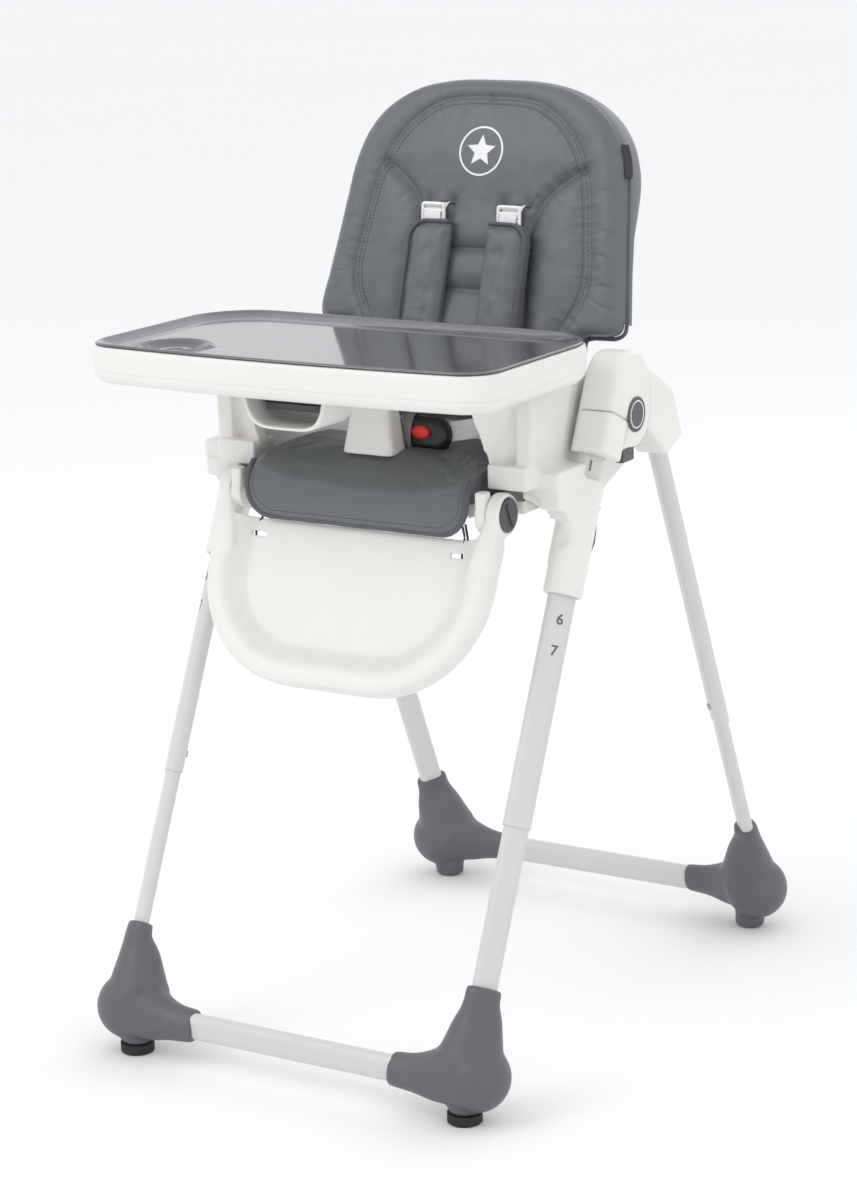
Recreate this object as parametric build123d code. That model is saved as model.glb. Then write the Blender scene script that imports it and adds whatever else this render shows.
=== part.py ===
from build123d import *
import math
import os

# Folding baby high chair. Millimetres, +Z up, the chair faces -Y.
# Lengths below are measured from the front foot pads; the whole model is then
# shifted so that its origin is under the middle of its box.

# ---- driving dimensions -------------------------------------------------
FRONT_SHIFT = 366.5      # front pads to the middle of the box, along Y
LEG_X = 235.0            # centre plane of the legs
FOOT_X = 225.0           # centre of the front pads
REAR_FOOT_X = 227.0      # centre of the rear foot posts
FRONT_LEAN = 25.0        # front legs lean back from the vertical
REAR_LEAN = 24.1         # rear legs lean forward from the vertical
FRONT_LEG_FOOT = (32.0, 149.0)    # y, z where the front leg leaves its cap
REAR_LEG_TOP = (452.0, 692.0)     # y, z where the rear leg leaves its socket
REAR_LEG_LENGTH = 598.0           # socket mouth to foot cap, along the leg

TUBE_WIDTH = 33.0        # upper leg tube, a flat oval
TUBE_DEPTH = 19.0
TUBE_WALL = 1.5
INNER_TUBE_GAP = 0.15    # lower tube slides into the upper one
TUBE_TURN = 45.0         # the wide faces look diagonally outward
FRONT_JOINT = 182.0      # lower tube to upper tube, along the front leg
FRONT_TUBE_TOP = 638.0   # end of the front tube inside the hub
REAR_JOINT = 176.0       # the same joint on the rear leg, from its foot cap
TUBE_OVERLAP = 60.0
NOTCH_TOP = 540.0        # highest of the height notches, along the front leg
NOTCH_PITCH = 35.9
NOTCH_COUNT = 7
NOTCH_RADIUS = 4.5
SNAP_RADIUS = 4.0
SNAP_ABOVE_JOINT = 24.0

BAR_HEIGHT = 32.0        # crossbars, flat ovals
BAR_DEPTH = 20.0
BAR_WALL = 1.5
BAR_Z = 48.5
FRONT_BAR_Y = -6.0
REAR_BAR_Y = 735.0
BAR_HALF = 180.0
CAP_ARM_END = 134.0      # inner end of a foot cap, along X

BALL_RADIUS = 40.0       # heel bulb of a foot cap
BALL_Z = 53.0
BALL_X = 237.0
FRONT_BALL_Y = 6.0
REAR_BALL_Y = 727.0
PAD_RADIUS = 20.0
PAD_HEIGHT = 12.0
POST_RADIUS = 19.0

PIVOT = (345.0, 745.0)   # y, z of the fold pivot
HUB_INNER = 219.0
HUB_OUTER = 266.0
HUB_SPLIT = 241.0
SLOT_INNER = 234.0       # slot in the hub for the rear arm
SLOT_OUTER = 248.0
HUB_DISC = 42.0
ARM_DISC = 24.0          # eye of the rear arm, in the hub's slot
PIN_RADIUS = 8.0
RUNNING_GAP = 0.05       # radial clearance of a pin in its bore
PART_GAP = 0.5           # clearance between bodies that pass each other
BADGE_RADIUS = 20.5
SCREW_RADIUS = 3.6
SCREW_LENGTH = 9.0

SLEEVE_WIDTH = 46.0      # sleeve around the front leg, a flat oval
SLEEVE_DEPTH = 32.0
SLEEVE_BOTTOM = 448.0    # along the front leg
SLEEVE_TOP = 585.0

CALF_PIVOT = (183.0, 652.0)       # y, z
CALF_HALF = 189.0
CALF_EAR_INNER = 172.4
CALF_LENGTH = 225.0
CALF_TOP_EDGE = 33.0
CALF_LEAN = 25.0
CALF_CORNER = 135.0      # radius of the panel's lower corners
EAR_RADIUS = 25.0
BUTTON_RADIUS = 19.5

ARM_TOP = 790.0          # top of the armrests
PANEL_INNER = 192.0      # seat side walls
PANEL_OUTER = 212.0
SEAT_TOP = 700.0
SEAT_FRONT = 161.0
SEAT_HALF = 152.0

BACK_LEAN = 17.0
BACK_SLOT = (450.0, 956.0)        # y, z of the shoulder strap slots
BACK_PIVOT = (405.0, 690.0)
BACK_TOP = 158.0         # up the back from the strap slots
BACK_WING_BOTTOM = -141.0
BACK_BOTTOM = -262.0
BACK_HALF = 211.0        # half width at the bottom of the wings
BACK_LOWER_HALF = 158.0
STRAP_X = 52.0           # shoulder straps, to each side of the middle
BUCKLE = (50.0, 236.0, 728.0)     # middle of the harness buckle

TRAY_TOP = 842.0
TRAY_BOTTOM = 798.0
TRAY_REAR = 294.0
TRAY_FRONT = 6.0
TRAY_BOW = 14.0
TRAY_REAR_HALF = 264.0
TRAY_FRONT_HALF = 265.0
TRAY_REAR_CORNER = 83.0
TRAY_FRONT_CORNER = 44.0
CUP_CENTRE = (-175.0, 62.0)
CUP_RADIUS = 38.0

SIDES = {"left": -1, "right": 1}


# ---- helpers ------------------------------------------------------------
def save(shape, name):
    """Move a finished piece into the model's frame and write it."""
    export_step(Pos(0, -FRONT_SHIFT, 0) * shape, f"parts/{name}.step")


def on_side(side, shape):
    """Pieces are drawn for the right-hand side; mirror them for the left."""
    return shape if side > 0 else mirror(shape, about=Plane.YZ)


def both_sides(shape):
    return shape + mirror(shape, about=Plane.YZ)


def leaning(y, z, lean, x=0.0):
    """Frame at (x, y, z) with +X sideways and +Z along a leg or back that leans by lean."""
    angle = math.radians(lean)
    up = (0, math.sin(angle), math.cos(angle))
    return Plane(origin=(x, y, z), x_dir=(1, 0, 0), z_dir=up).location


def front_leg():
    return leaning(*FRONT_LEG_FOOT, FRONT_LEAN, LEG_X)


def rear_leg():
    """Frame on the rear leg's axis with its zero at the socket mouth and +Z up the leg."""
    return leaning(*REAR_LEG_TOP, -REAR_LEAN, LEG_X)


def oval(width, depth, turn=0.0):
    return Rot(0, 0, turn) * SlotOverall(width, depth)


def oval_bar(width, depth, turn, low, high):
    return Pos(0, 0, low) * extrude(oval(width, depth, turn), high - low)


def oval_tube(width, depth, wall, turn, low, high):
    outer = oval(width, depth, turn)
    return Pos(0, 0, low) * extrude(outer - oval(width - 2 * wall, depth - 2 * wall, turn), high - low)


def rod_x(radius, y, z, low, high):
    """Round bar along X."""
    return Pos(low, y, z) * Rot(0, 90, 0) * Cylinder(
        radius, high - low, align=(Align.CENTER, Align.CENTER, Align.MIN))


def block(x, y, z):
    """Box from three (low, high) pairs."""
    return Pos(x[0], y[0], z[0]) * Box(
        x[1] - x[0], y[1] - y[0], z[1] - z[0], align=(Align.MIN, Align.MIN, Align.MIN))


def plate_x(outline, low, high):
    """Extrude a sketch drawn in (y, z) along X from low to high."""
    plane = Plane(origin=(low, 0, 0), x_dir=(0, 1, 0), z_dir=(1, 0, 0))
    return extrude(plane * outline, high - low, dir=(1, 0, 0))


def disc_sketch(y, z, radius):
    return Pos(y, z) * Circle(radius)


def hull(*shapes):
    return make_hull([edge for shape in shapes for edge in shape.edges()])


def outer_edges(shape, sign=1):
    """Edges round the face that looks furthest out along X."""
    return shape.faces().sort_by(Axis.X)[-1 if sign > 0 else 0].edges()


# ---- front frame --------------------------------------------------------
def inner_width():
    return TUBE_WIDTH - 2 * TUBE_WALL - 2 * INNER_TUBE_GAP


def inner_depth():
    return TUBE_DEPTH - 2 * TUBE_WALL - 2 * INNER_TUBE_GAP


def snap_hole(place, turn, height, radius, reach):
    """Round bar square to the wide inner face of a leg tube."""
    start = TUBE_DEPTH / 2 - TUBE_WALL - 4
    bar = Pos(0, start, 0) * Rot(-90, 0, 0) * Cylinder(
        radius, reach, align=(Align.CENTER, Align.CENTER, Align.MIN))
    return place * Pos(0, 0, height) * Rot(0, 0, turn) * bar


def front_upper_tube():
    tube = oval_tube(TUBE_WIDTH, TUBE_DEPTH, TUBE_WALL, TUBE_TURN, FRONT_JOINT, FRONT_TUBE_TOP)
    for step in range(NOTCH_COUNT):
        notch = Pos(0, 0, NOTCH_TOP - step * NOTCH_PITCH) * Rot(-90, 0, 0) * Cylinder(
            NOTCH_RADIUS, TUBE_WIDTH, align=(Align.CENTER, Align.CENTER, Align.MIN))
        tube -= notch
    return front_leg() * tube - snap_hole(
        front_leg(), TUBE_TURN, FRONT_JOINT + SNAP_ABOVE_JOINT, SNAP_RADIUS + PART_GAP, TUBE_DEPTH)


def front_lower_tube():
    tube = front_leg() * oval_tube(
        inner_width(), inner_depth(), TUBE_WALL, TUBE_TURN, -45, FRONT_JOINT + TUBE_OVERLAP)
    return tube - snap_hole(
        front_leg(), TUBE_TURN, FRONT_JOINT + SNAP_ABOVE_JOINT, SNAP_RADIUS + PART_GAP, TUBE_DEPTH)


def snap_button(place, turn, height):
    return snap_hole(place, turn, height, SNAP_RADIUS, TUBE_WALL + 6.5)


def crossbar(y):
    bar = oval_tube(BAR_HEIGHT, BAR_DEPTH, BAR_WALL, 0, -BAR_HALF, BAR_HALF)
    return Pos(0, y, BAR_Z) * Rot(0, 90, 0) * bar


def cap_arm(bar_y, ball_y):
    """Socket of a foot cap round the crossbar, flowing into the heel bulb."""
    sections = [(CAP_ARM_END, 38, 26, 0.0), (168, 40, 30, 0.15), (204, 54, 46, 0.55), (226, 70, 66, 1.0)]
    faces = []
    for x, height, depth, share in sections:
        y = bar_y + (ball_y - bar_y) * share
        z = BAR_Z + (BALL_Z - BAR_Z) * share
        plane = Plane(origin=(x, y, z), x_dir=(0, 0, 1), z_dir=(1, 0, 0))
        faces.append(plane * Ellipse(height / 2, depth / 2) if x > CAP_ARM_END
                     else plane * RectangleRounded(height, depth, depth * 0.42))
    return loft(faces)


def cap_leg(place, lean, turn, ball_y):
    """Socket of a foot cap round the leg tube, flowing into the heel bulb."""
    sections = [(0, 41, 28), (28, 42, 31), (58, 54, 44)]
    faces = []
    for drop, width, depth in sections:
        faces.append(place * Pos(0, 0, -drop) * Rot(0, 0, turn) * Ellipse(width / 2, depth / 2))
    ball = Pos(BALL_X, ball_y, BALL_Z) * Rot(-lean, 0, 0) * Circle(BALL_RADIUS - 3)
    return loft(faces + [ball])


def front_cap():
    ball = Pos(BALL_X, FRONT_BALL_Y, BALL_Z) * Sphere(BALL_RADIUS)
    cap = ball + cap_arm(FRONT_BAR_Y, FRONT_BALL_Y)
    cap += cap_leg(front_leg(), FRONT_LEAN, TUBE_TURN, FRONT_BALL_Y)
    post = Pos(FOOT_X, 0, PAD_HEIGHT) * Cylinder(
        PAD_RADIUS - 1, 30, align=(Align.CENTER, Align.CENTER, Align.MIN))
    cap = cap + post - block((0, 400), (-200, 200), (-10, PAD_HEIGHT))
    cap = cut_cap_bores(cap, front_leg(), -45, 20, TUBE_TURN, FRONT_BAR_Y)
    return cap - cap_screw_bodies(FRONT_BAR_Y, 1)


def cut_cap_bores(cap, place, low, high, turn, bar_y):
    cap -= place * oval_bar(inner_width() + 0.2, inner_depth() + 0.2, turn, low, high)
    bar = oval_bar(BAR_HEIGHT + 0.2, BAR_DEPTH + 0.2, 0, CAP_ARM_END - 5, BAR_HALF)
    return cap - Pos(0, bar_y, BAR_Z) * Rot(0, 90, 0) * bar


def foot_pad():
    pad = Pos(FOOT_X, 0, 0) * Cylinder(
        PAD_RADIUS, PAD_HEIGHT, align=(Align.CENTER, Align.CENTER, Align.MIN))
    return chamfer(pad.edges().group_by(Axis.Z)[0], 1.5)


# ---- hub ----------------------------------------------------------------
def leg_point(along):
    """(y, z) on the front leg's axis."""
    lean = math.radians(FRONT_LEAN)
    y, z = FRONT_LEG_FOOT
    return y + along * math.sin(lean), z + along * math.cos(lean)


def hub_outline():
    lobes = [
        disc_sketch(*PIVOT, HUB_DISC),
        disc_sketch(PIVOT[0], PIVOT[1] + 31, HUB_DISC),
        disc_sketch(*leg_point(700), 24),
        disc_sketch(*leg_point(640), 24),
    ]
    return hull(*lobes)


def collar_sketch(gap=0.0):
    return Pos(0, -1) * RectangleRounded(48 + 2 * gap, 46 + 2 * gap, 9)


def collar_solid(gap=0.0):
    low, high = 612 - gap, 660 + gap
    return front_leg() * Pos(7.5, 0, low) * extrude(collar_sketch(gap), high - low)


def leg_bore(low, high):
    return front_leg() * oval_bar(TUBE_WIDTH + 0.2, TUBE_DEPTH + 0.2, TUBE_TURN, low, high)


def fold_button_pocket():
    return block((250.3, 261.7), (321.5, 348.5), (680, 718.5))


def hub_solid():
    """Both shells as one, before the split."""
    hub = plate_x(hub_outline(), HUB_INNER, HUB_OUTER)
    hub = fillet(outer_edges(hub), 9)
    hub = fillet(outer_edges(hub, -1), 3)
    open_side = Pos(*PIVOT) * Rot(0, 0, -46) * Pos(40, 0) * Rectangle(80, 200)
    slot = plate_x(disc_sketch(*PIVOT, ARM_DISC + 6) + open_side, SLOT_INNER, SLOT_OUTER)
    hub -= slot
    hub -= collar_solid(0.3)
    hub -= leg_bore(600, FRONT_TUBE_TOP + 1)
    hub -= rod_x(PIN_RADIUS + RUNNING_GAP, *PIVOT, 226, 258)
    hub -= hub_screw_bodies()
    return hub - fold_button_pocket()


def hub_shell(outer):
    keep = (HUB_SPLIT, 300) if outer else (200, HUB_SPLIT)
    half = hub_solid() & block(keep, (200, 500), (600, 900))
    return half.solids().sort_by(SortBy.VOLUME)[-1]


def hub_collar():
    collar = fillet(collar_solid().edges().group_by(Axis.X)[-1], 2)
    return collar - leg_bore(600, 670) - rod_x(ARM_DISC + 4, *PIVOT, SLOT_INNER, SLOT_OUTER)


def hub_badge():
    badge = rod_x(BADGE_RADIUS, *PIVOT, HUB_OUTER, HUB_OUTER + 1.6)
    return chamfer(outer_edges(badge), 0.6)


def fold_pin():
    return rod_x(PIN_RADIUS, *PIVOT, 226.3, 257.7)


def fold_button():
    button = block((250.8, 261.2), (322, 348), (691, 712))
    return fillet(button.edges().group_by(Axis.Z)[0], 2.5)


def hub_screw_places():
    return [(322.0, 797.0), (358.0, 799.0), (306.0, 771.0)]


def hub_screw_bodies():
    """Bodies of the screws that close the hub from its inner face."""
    places = hub_screw_places()
    rods = [rod_x(SCREW_RADIUS, y, z, HUB_INNER, HUB_INNER + SCREW_LENGTH) for y, z in places]
    return rods[0] + rods[1:]


def hub_screws():
    screws = hub_screw_bodies()
    for y, z in hub_screw_places():
        screws -= Pos(HUB_INNER, y, z) * (Box(2, 4.6, 0.9) + Box(2, 0.9, 4.6))
    return screws


# ---- rear frame ---------------------------------------------------------
def rear_axis_point(along):
    """(y, z) on the rear leg's axis, along measured up from the socket mouth."""
    lean = math.radians(-REAR_LEAN)
    y, z = REAR_LEG_TOP
    return y + along * math.sin(lean), z + along * math.cos(lean)


def rear_socket():
    """Arm in the hub's slot and the moulded socket that holds the rear leg."""
    top = rear_axis_point(62)
    mouth = rear_axis_point(-2)
    corner = Polygon((374, 786), (398, 787), (top[0] + 21, top[1] + 9), (mouth[0] + 20, mouth[1] + 9),
                     (mouth[0] - 20, mouth[1] - 9), (383, 722), (360, 742), align=None)
    outline = corner - offset(hub_outline(), 0.6) - disc_sketch(*PIVOT, HUB_DISC + 1.5)
    outline = outline.faces().sort_by(SortBy.AREA)[-1]
    socket = plate_x(outline, 221, 262)
    socket = fillet(outer_edges(socket), 4)
    arm = hull(disc_sketch(*PIVOT, ARM_DISC), disc_sketch(408, 740, 16))
    arm_plate = plate_x(arm, SLOT_INNER + PART_GAP, SLOT_OUTER - PART_GAP)
    socket = socket + arm_plate - rod_x(PIN_RADIUS + RUNNING_GAP, *PIVOT, 200, 300)
    bore = rear_leg() * oval_bar(TUBE_WIDTH + 0.2, TUBE_DEPTH + 0.2, -TUBE_TURN, -30, 41)
    return socket - bore


def rear_snap_place():
    return rear_leg() * Pos(0, 0, REAR_JOINT - REAR_LEG_LENGTH + SNAP_ABOVE_JOINT)


def rear_snap_turn():
    return 180.0 - TUBE_TURN


def rear_upper_tube():
    low = REAR_JOINT - REAR_LEG_LENGTH
    tube = rear_leg() * oval_tube(TUBE_WIDTH, TUBE_DEPTH, TUBE_WALL, -TUBE_TURN, low, 40)
    return tube - snap_hole(rear_snap_place(), rear_snap_turn(), 0, SNAP_RADIUS + PART_GAP, TUBE_DEPTH)


def rear_lower_tube():
    low = -REAR_LEG_LENGTH
    tube = rear_leg() * oval_tube(inner_width(), inner_depth(), TUBE_WALL, -TUBE_TURN,
                                  low - 45, low + REAR_JOINT + TUBE_OVERLAP)
    return tube - snap_hole(rear_snap_place(), rear_snap_turn(), 0, SNAP_RADIUS + PART_GAP, TUBE_DEPTH)


def rear_cap():
    ball = Pos(BALL_X, REAR_BALL_Y, BALL_Z) * Sphere(BALL_RADIUS)
    foot_end = rear_leg() * Pos(0, 0, -REAR_LEG_LENGTH)
    cap = ball + cap_arm(REAR_BAR_Y, REAR_BALL_Y)
    cap += cap_leg(foot_end, -REAR_LEAN, -TUBE_TURN, REAR_BALL_Y)
    post = Pos(REAR_FOOT_X, 728, 0) * Cylinder(
        POST_RADIUS, 40, align=(Align.CENTER, Align.CENTER, Align.MIN))
    cap += chamfer(post.edges().group_by(Axis.Z)[0], 1.5)
    cap = cut_cap_bores(cap, foot_end, -45, 20, -TUBE_TURN, REAR_BAR_Y)
    return cap - cap_screw_bodies(REAR_BAR_Y, -1)


def cap_screw_bodies(bar_y, side):
    """Screws that hold a crossbar in its foot cap, on the hidden side of the cap."""
    place = Pos(CAP_ARM_END + 14, bar_y + side * 10.1, BAR_Z) * Rot(-side * 90, 0, 0)
    return place * Cylinder(SCREW_RADIUS, 4.2, align=(Align.CENTER, Align.CENTER, Align.MIN))


def cap_screws(bar_y, side):
    recess = Pos(CAP_ARM_END + 14, bar_y + side * 14.3, BAR_Z) * (Box(4.6, 2, 0.9) + Box(0.9, 2, 4.6))
    return both_sides(cap_screw_bodies(bar_y, side) - recess)


# ---- seat ---------------------------------------------------------------
def side_flare():
    """Armrest support, a funnel that widens upward under the tray."""
    low = Pos(0, 0, 702) * Polygon((176, 152), (214, 152), (214, 258), (176, 258), align=None)
    high = Pos(0, 0, ARM_TOP) * Polygon((166, 136), (243, 136), (243, 292), (166, 292), align=None)
    flare = loft([low, high])
    flare = fillet(flare.edges().filter_by(lambda e: e.length > 60 and abs(e.tangent_at(0.5).Z) > 0.5), 6)
    leg_side = front_leg() * block((-18, 60), (-27, 200), (400, 900))
    return flare - leg_side


def side_wall_outline():
    """Seat side wall: it runs back from the knuckle to the backrest pivot."""
    wall = Polygon((152, 704), (152, 668), (214, 640), (330, 634), (431, 672), (431, 716),
                   (398, 738), (352, ARM_TOP), (150, ARM_TOP), align=None)
    return fillet(wall.vertices().group_by(Axis.X)[-1], 14)


def side_panel():
    panel = plate_x(side_wall_outline(), PANEL_INNER, PANEL_OUTER)
    knuckle_block = block((158, 214), (152, 214), (688, 706)) + block((158, 172), (160, 206), (655, 690))
    web = plate_x(Polygon((205, 700), (205, 640), (262, 640), (282, 700), align=None), PANEL_INNER, 240)
    sleeve = front_leg() * oval_bar(SLEEVE_WIDTH, SLEEVE_DEPTH, TUBE_TURN, SLEEVE_BOTTOM, SLEEVE_TOP)
    tie = front_leg() * block((-43, 0), (-12, 13), (SLEEVE_BOTTOM + 34, SLEEVE_TOP))
    housing = front_leg() * block((-9, 13), (0, 27), (SLEEVE_BOTTOM + 22, SLEEVE_TOP))
    panel = panel + side_flare() + knuckle_block + web + sleeve + tie + housing
    panel += rod_x(EAR_RADIUS, *CALF_PIVOT, 158, 172)
    panel -= rod_x(EAR_RADIUS + 1, *CALF_PIVOT, 172, 300)
    panel -= rod_x(26, 209, 630, 180, 300)
    panel -= front_leg() * oval_bar(TUBE_WIDTH + 2 * PART_GAP, TUBE_DEPTH + 2 * PART_GAP,
                                    TUBE_TURN, 300, 700)
    panel -= front_leg() * block((-6, 9), (0, 40), (NOTCH_TOP - 46, NOTCH_TOP + 26))
    panel -= height_lever_pin(0.0)
    panel -= rod_x(6, *CALF_PIVOT, 160, 172.4)
    panel -= rod_x(5, *BACK_PIVOT, 180, 208)
    panel -= block((150, 192), (176, 300), (655, 780))
    return panel.solids().sort_by(SortBy.VOLUME)[-1]


def height_lever():
    """Trigger behind the sleeve. It rocks on a pin and its foot is squeezed inward."""
    profile = Polygon((19, NOTCH_TOP + 22), (26.5, NOTCH_TOP + 22), (35, NOTCH_TOP - 8),
                      (37, NOTCH_TOP - 20), (28.5, NOTCH_TOP - 44), (19.5, NOTCH_TOP - 10), align=None)
    plane = Plane(origin=(-5.3, 0, 0), x_dir=(0, 1, 0), z_dir=(1, 0, 0))
    lever = extrude(plane * profile, 13.6, dir=(1, 0, 0))
    lever = fillet(lever.edges().filter_by(Axis.X), 1.2)
    return front_leg() * lever - height_lever_pin(RUNNING_GAP)


def height_lever_pin(gap=0.0):
    return front_leg() * Pos(-9 - gap, 23.2, NOTCH_TOP + 18) * Rot(0, 90, 0) * Cylinder(
        2.0 + gap, 22 + 2 * gap, align=(Align.CENTER, Align.CENTER, Align.MIN))


def seat_pins():
    """Pivot pins of the calf rest, the backrest and the height trigger on one side."""
    calf = rod_x(6, *CALF_PIVOT, 160, 181)
    back = rod_x(5, *BACK_PIVOT, 176, 208)
    return Compound(children=[calf, back])


def seat_pan():
    pan = block((-191.8, 191.8), (212, 424), (648, 662))
    pan += block((-157, 157), (176, 212), (648, 662))
    pan += block((-172, 172), (358, 370), (662, 676))
    for x in (-120, -60, 0, 60, 120):
        pan += block((x - 1.5, x + 1.5), (214, 380), (636, 648))
    pan += block((-150, 150), (300, 303), (636, 648))
    pan -= block((-30, 30), (225, 235), (640, 670))
    pan -= both_sides(block((100, 130), (240, 246), (640, 670)))
    return pan


def seat_cushion():
    """Seat pad with the upper part of its front flap."""
    profile = Polygon((SEAT_FRONT, 641), (SEAT_FRONT, SEAT_TOP), (352, SEAT_TOP), (352, 662.4),
                      (174, 662.4), (174, 641), align=None)
    cushion = plate_x(profile, -SEAT_HALF, SEAT_HALF)
    cushion = fillet(cushion.faces().sort_by(Axis.Z)[-1].edges(), 6)
    return cushion - block((-22, 22), (240, 252), (650, 710))


def flap_strip():
    """Lower edge of the cushion's front flap. It lies on the calf rest and lifts with it."""
    flap = block((-SEAT_HALF, SEAT_HALF), (156, 163), (622, 634))
    return fillet(flap.edges().filter_by(Axis.Y), 5)


def harness_webbing():
    """Crotch strap and the two waist straps, held at the buckle."""
    x, y, z = BUCKLE
    edges = (z - 11, z + 12)
    crotch = block((-12, 12), (y + 8, y + 10.4), (663, z - 7))
    runs = [block((x + 10, SEAT_HALF - 18), (y + 11, y + 13), edges),
            block((20 - SEAT_HALF, x - 40), (y + 11, y + 13), edges)]
    runs += both_sides(block((SEAT_HALF - 17.9, SEAT_HALF - 15.9), (y + 11, 352), edges)).solids()
    return Compound(children=[crotch] + runs)


def buckle_body():
    outline = hull(Pos(-14, 0) * Circle(20), Pos(14, 0) * Circle(20), Pos(0, -4) * Circle(22))
    x, y, z = BUCKLE
    body = Pos(x, y, z) * Rot(90, 0, 0) * extrude(outline, 9, both=True)
    body = fillet(body.faces().sort_by(Axis.Y)[0].edges(), 5)
    body -= Pos(x, y - 9, z) * Rot(90, 0, 0) * extrude(button_sketch(PART_GAP), 10.5, both=True)
    return body


def button_sketch(gap=0.0):
    return Ellipse(12 + gap, 8 + gap)


def buckle_button():
    x, y, z = BUCKLE
    button = Pos(x, y - 6.5, z) * Rot(90, 0, 0) * extrude(button_sketch(), 4, both=True)
    return fillet(button.faces().sort_by(Axis.Y)[0].edges(), 1.5)


# ---- backrest -----------------------------------------------------------
def back_place():
    """Frame on the cushion's front face at the strap slots, +Z up the back, +Y behind it."""
    return leaning(*BACK_SLOT, BACK_LEAN)


def back_outline(inset=0.0, bottom=BACK_BOTTOM):
    """Front view of the back: an arched top, sides that widen down to the wings, a narrow foot."""
    half = BACK_HALF - inset
    low_half = BACK_LOWER_HALF - inset
    top = BACK_TOP - inset
    wing = BACK_WING_BOTTOM + inset
    right = Spline((half * 0.905, 30), (half * 0.79, 105), (half * 0.56, 143), (0, top),
                   tangents=((-0.08, 1), (-1, 0)))
    right += Polyline((half * 0.905, 30), (half, wing + 16), (half - 16, wing), (low_half, wing),
                      (low_half, bottom), (0, bottom))
    return make_face(Wire(right.edges() + mirror(right, about=Plane.YZ).edges()))


def back_plate(outline, front, back):
    """Extrude a front-view sketch through the back's thickness."""
    plane = Plane(origin=(0, front, 0), x_dir=(1, 0, 0), z_dir=(0, -1, 0))
    return back_place() * extrude(plane * outline, back - front, dir=(0, 1, 0))


def back_cushion():
    cushion = back_plate(back_outline(0, BACK_BOTTOM + 6), 0, 30)
    slots = [back_place() * Pos(x, 8, 6) * Box(34, 60, 7) for x in (-STRAP_X, STRAP_X)]
    return cushion - slots[0] - slots[1]


def back_shell():
    foot = Pos(0, (BACK_BOTTOM + BACK_WING_BOTTOM) / 2) * Rectangle(
        2 * BACK_LOWER_HALF - 14, BACK_WING_BOTTOM - BACK_BOTTOM)
    rim = back_plate(back_outline(13) + foot, 30.5, 43)
    pocket = back_plate(back_outline(22, BACK_BOTTOM + 20), 34, 60)
    shell = rim - pocket
    for x in (-60, 60):
        shell += back_place() * block((x - 4, x + 4), (33, 43), (BACK_BOTTOM + 2, 120))
    ears = plate_x(hull(disc_sketch(*BACK_PIVOT, 12), disc_sketch(424, 726, 12)), 150.5, 186)
    shell += both_sides(ears) - back_plate(back_outline(-1, BACK_BOTTOM), -5, 30.5)
    shell -= both_sides(rod_x(5 + RUNNING_GAP, *BACK_PIVOT, 140, 200))
    for x in (-STRAP_X, STRAP_X):
        shell -= back_place() * Pos(x, 40, 6) * Box(34, 40, 7)
    return shell - recline_pocket()


def recline_pocket():
    return back_place() * block((-40.5, 40.5), (30, 50), (39, 86))


def recline_lever():
    """Squeeze handle on the back of the shell that frees the recline catch."""
    plate = back_place() * block((-40, 40), (37, 43), (39.5, 74))
    grip = back_place() * block((-34, 34), (43, 52), (41, 52))
    return plate + fillet(grip.edges().filter_by(Axis.X), 3)


def recline_guides():
    """Two small blocks that the recline handle slides between."""
    return both_sides(back_place() * block((40.5, 46), (36, 43), (36, 90)))


def shoulder_straps():
    strap = back_place() * block((STRAP_X - 12, STRAP_X + 12), (-12.0, -10.5), (-150, 6))
    strap += back_place() * block((STRAP_X - 12, STRAP_X + 12), (-12.0, 26), (4.5, 6))
    return Compound(children=[strap, mirror(strap, about=Plane.YZ)])


def shoulder_pads():
    pad = back_place() * block((STRAP_X - 29, STRAP_X + 29), (-10.2, -0.6), (-150, -12))
    pad = fillet(pad.edges().filter_by(lambda e: abs(e.length - 9.6) < 0.01), 10)
    cover = back_place() * block((STRAP_X - 29, STRAP_X + 29), (-19, -12.3), (-150, -12))
    cover = fillet(cover.edges().filter_by(lambda e: abs(e.length - 6.7) < 0.01), 10)
    joined = pad + cover
    return Compound(children=list(joined.solids()) + list(mirror(joined, about=Plane.YZ).solids()))


def strap_adjusters():
    frame = back_place() * block((STRAP_X - 16, STRAP_X + 16), (-16, -12.3), (-9, 16))
    frame -= back_place() * block((STRAP_X - 12.5, STRAP_X + 12.5), (-20, 0), (-5, 1))
    frame -= back_place() * block((STRAP_X - 12.5, STRAP_X + 12.5), (-20, 0), (6, 12))
    return Compound(children=[frame, mirror(frame, about=Plane.YZ)])


# ---- calf rest ----------------------------------------------------------
def calf_place():
    """Frame at the calf pivot, +Z up the panel, +Y behind it."""
    return leaning(*CALF_PIVOT, CALF_LEAN)


def calf_outline(inset=0.0):
    """U-shaped front view of the panel with a straight top edge."""
    corner = CALF_CORNER - inset
    x = CALF_HALF - 1 - CALF_CORNER
    low = CALF_CORNER - CALF_LENGTH
    lobes = hull(Pos(-x, low) * Circle(corner), Pos(x, low) * Circle(corner),
                 Pos(0, 0) * Rectangle(2 * (CALF_HALF - 1 - inset), 60))
    return lobes - Pos(0, 150 - CALF_TOP_EDGE - inset) * Rectangle(600, 300)


def calf_plate(outline, front, back):
    plane = Plane(origin=(0, front, 0), x_dir=(1, 0, 0), z_dir=(0, -1, 0))
    return calf_place() * extrude(plane * outline, back - front, dir=(0, 1, 0))


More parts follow.
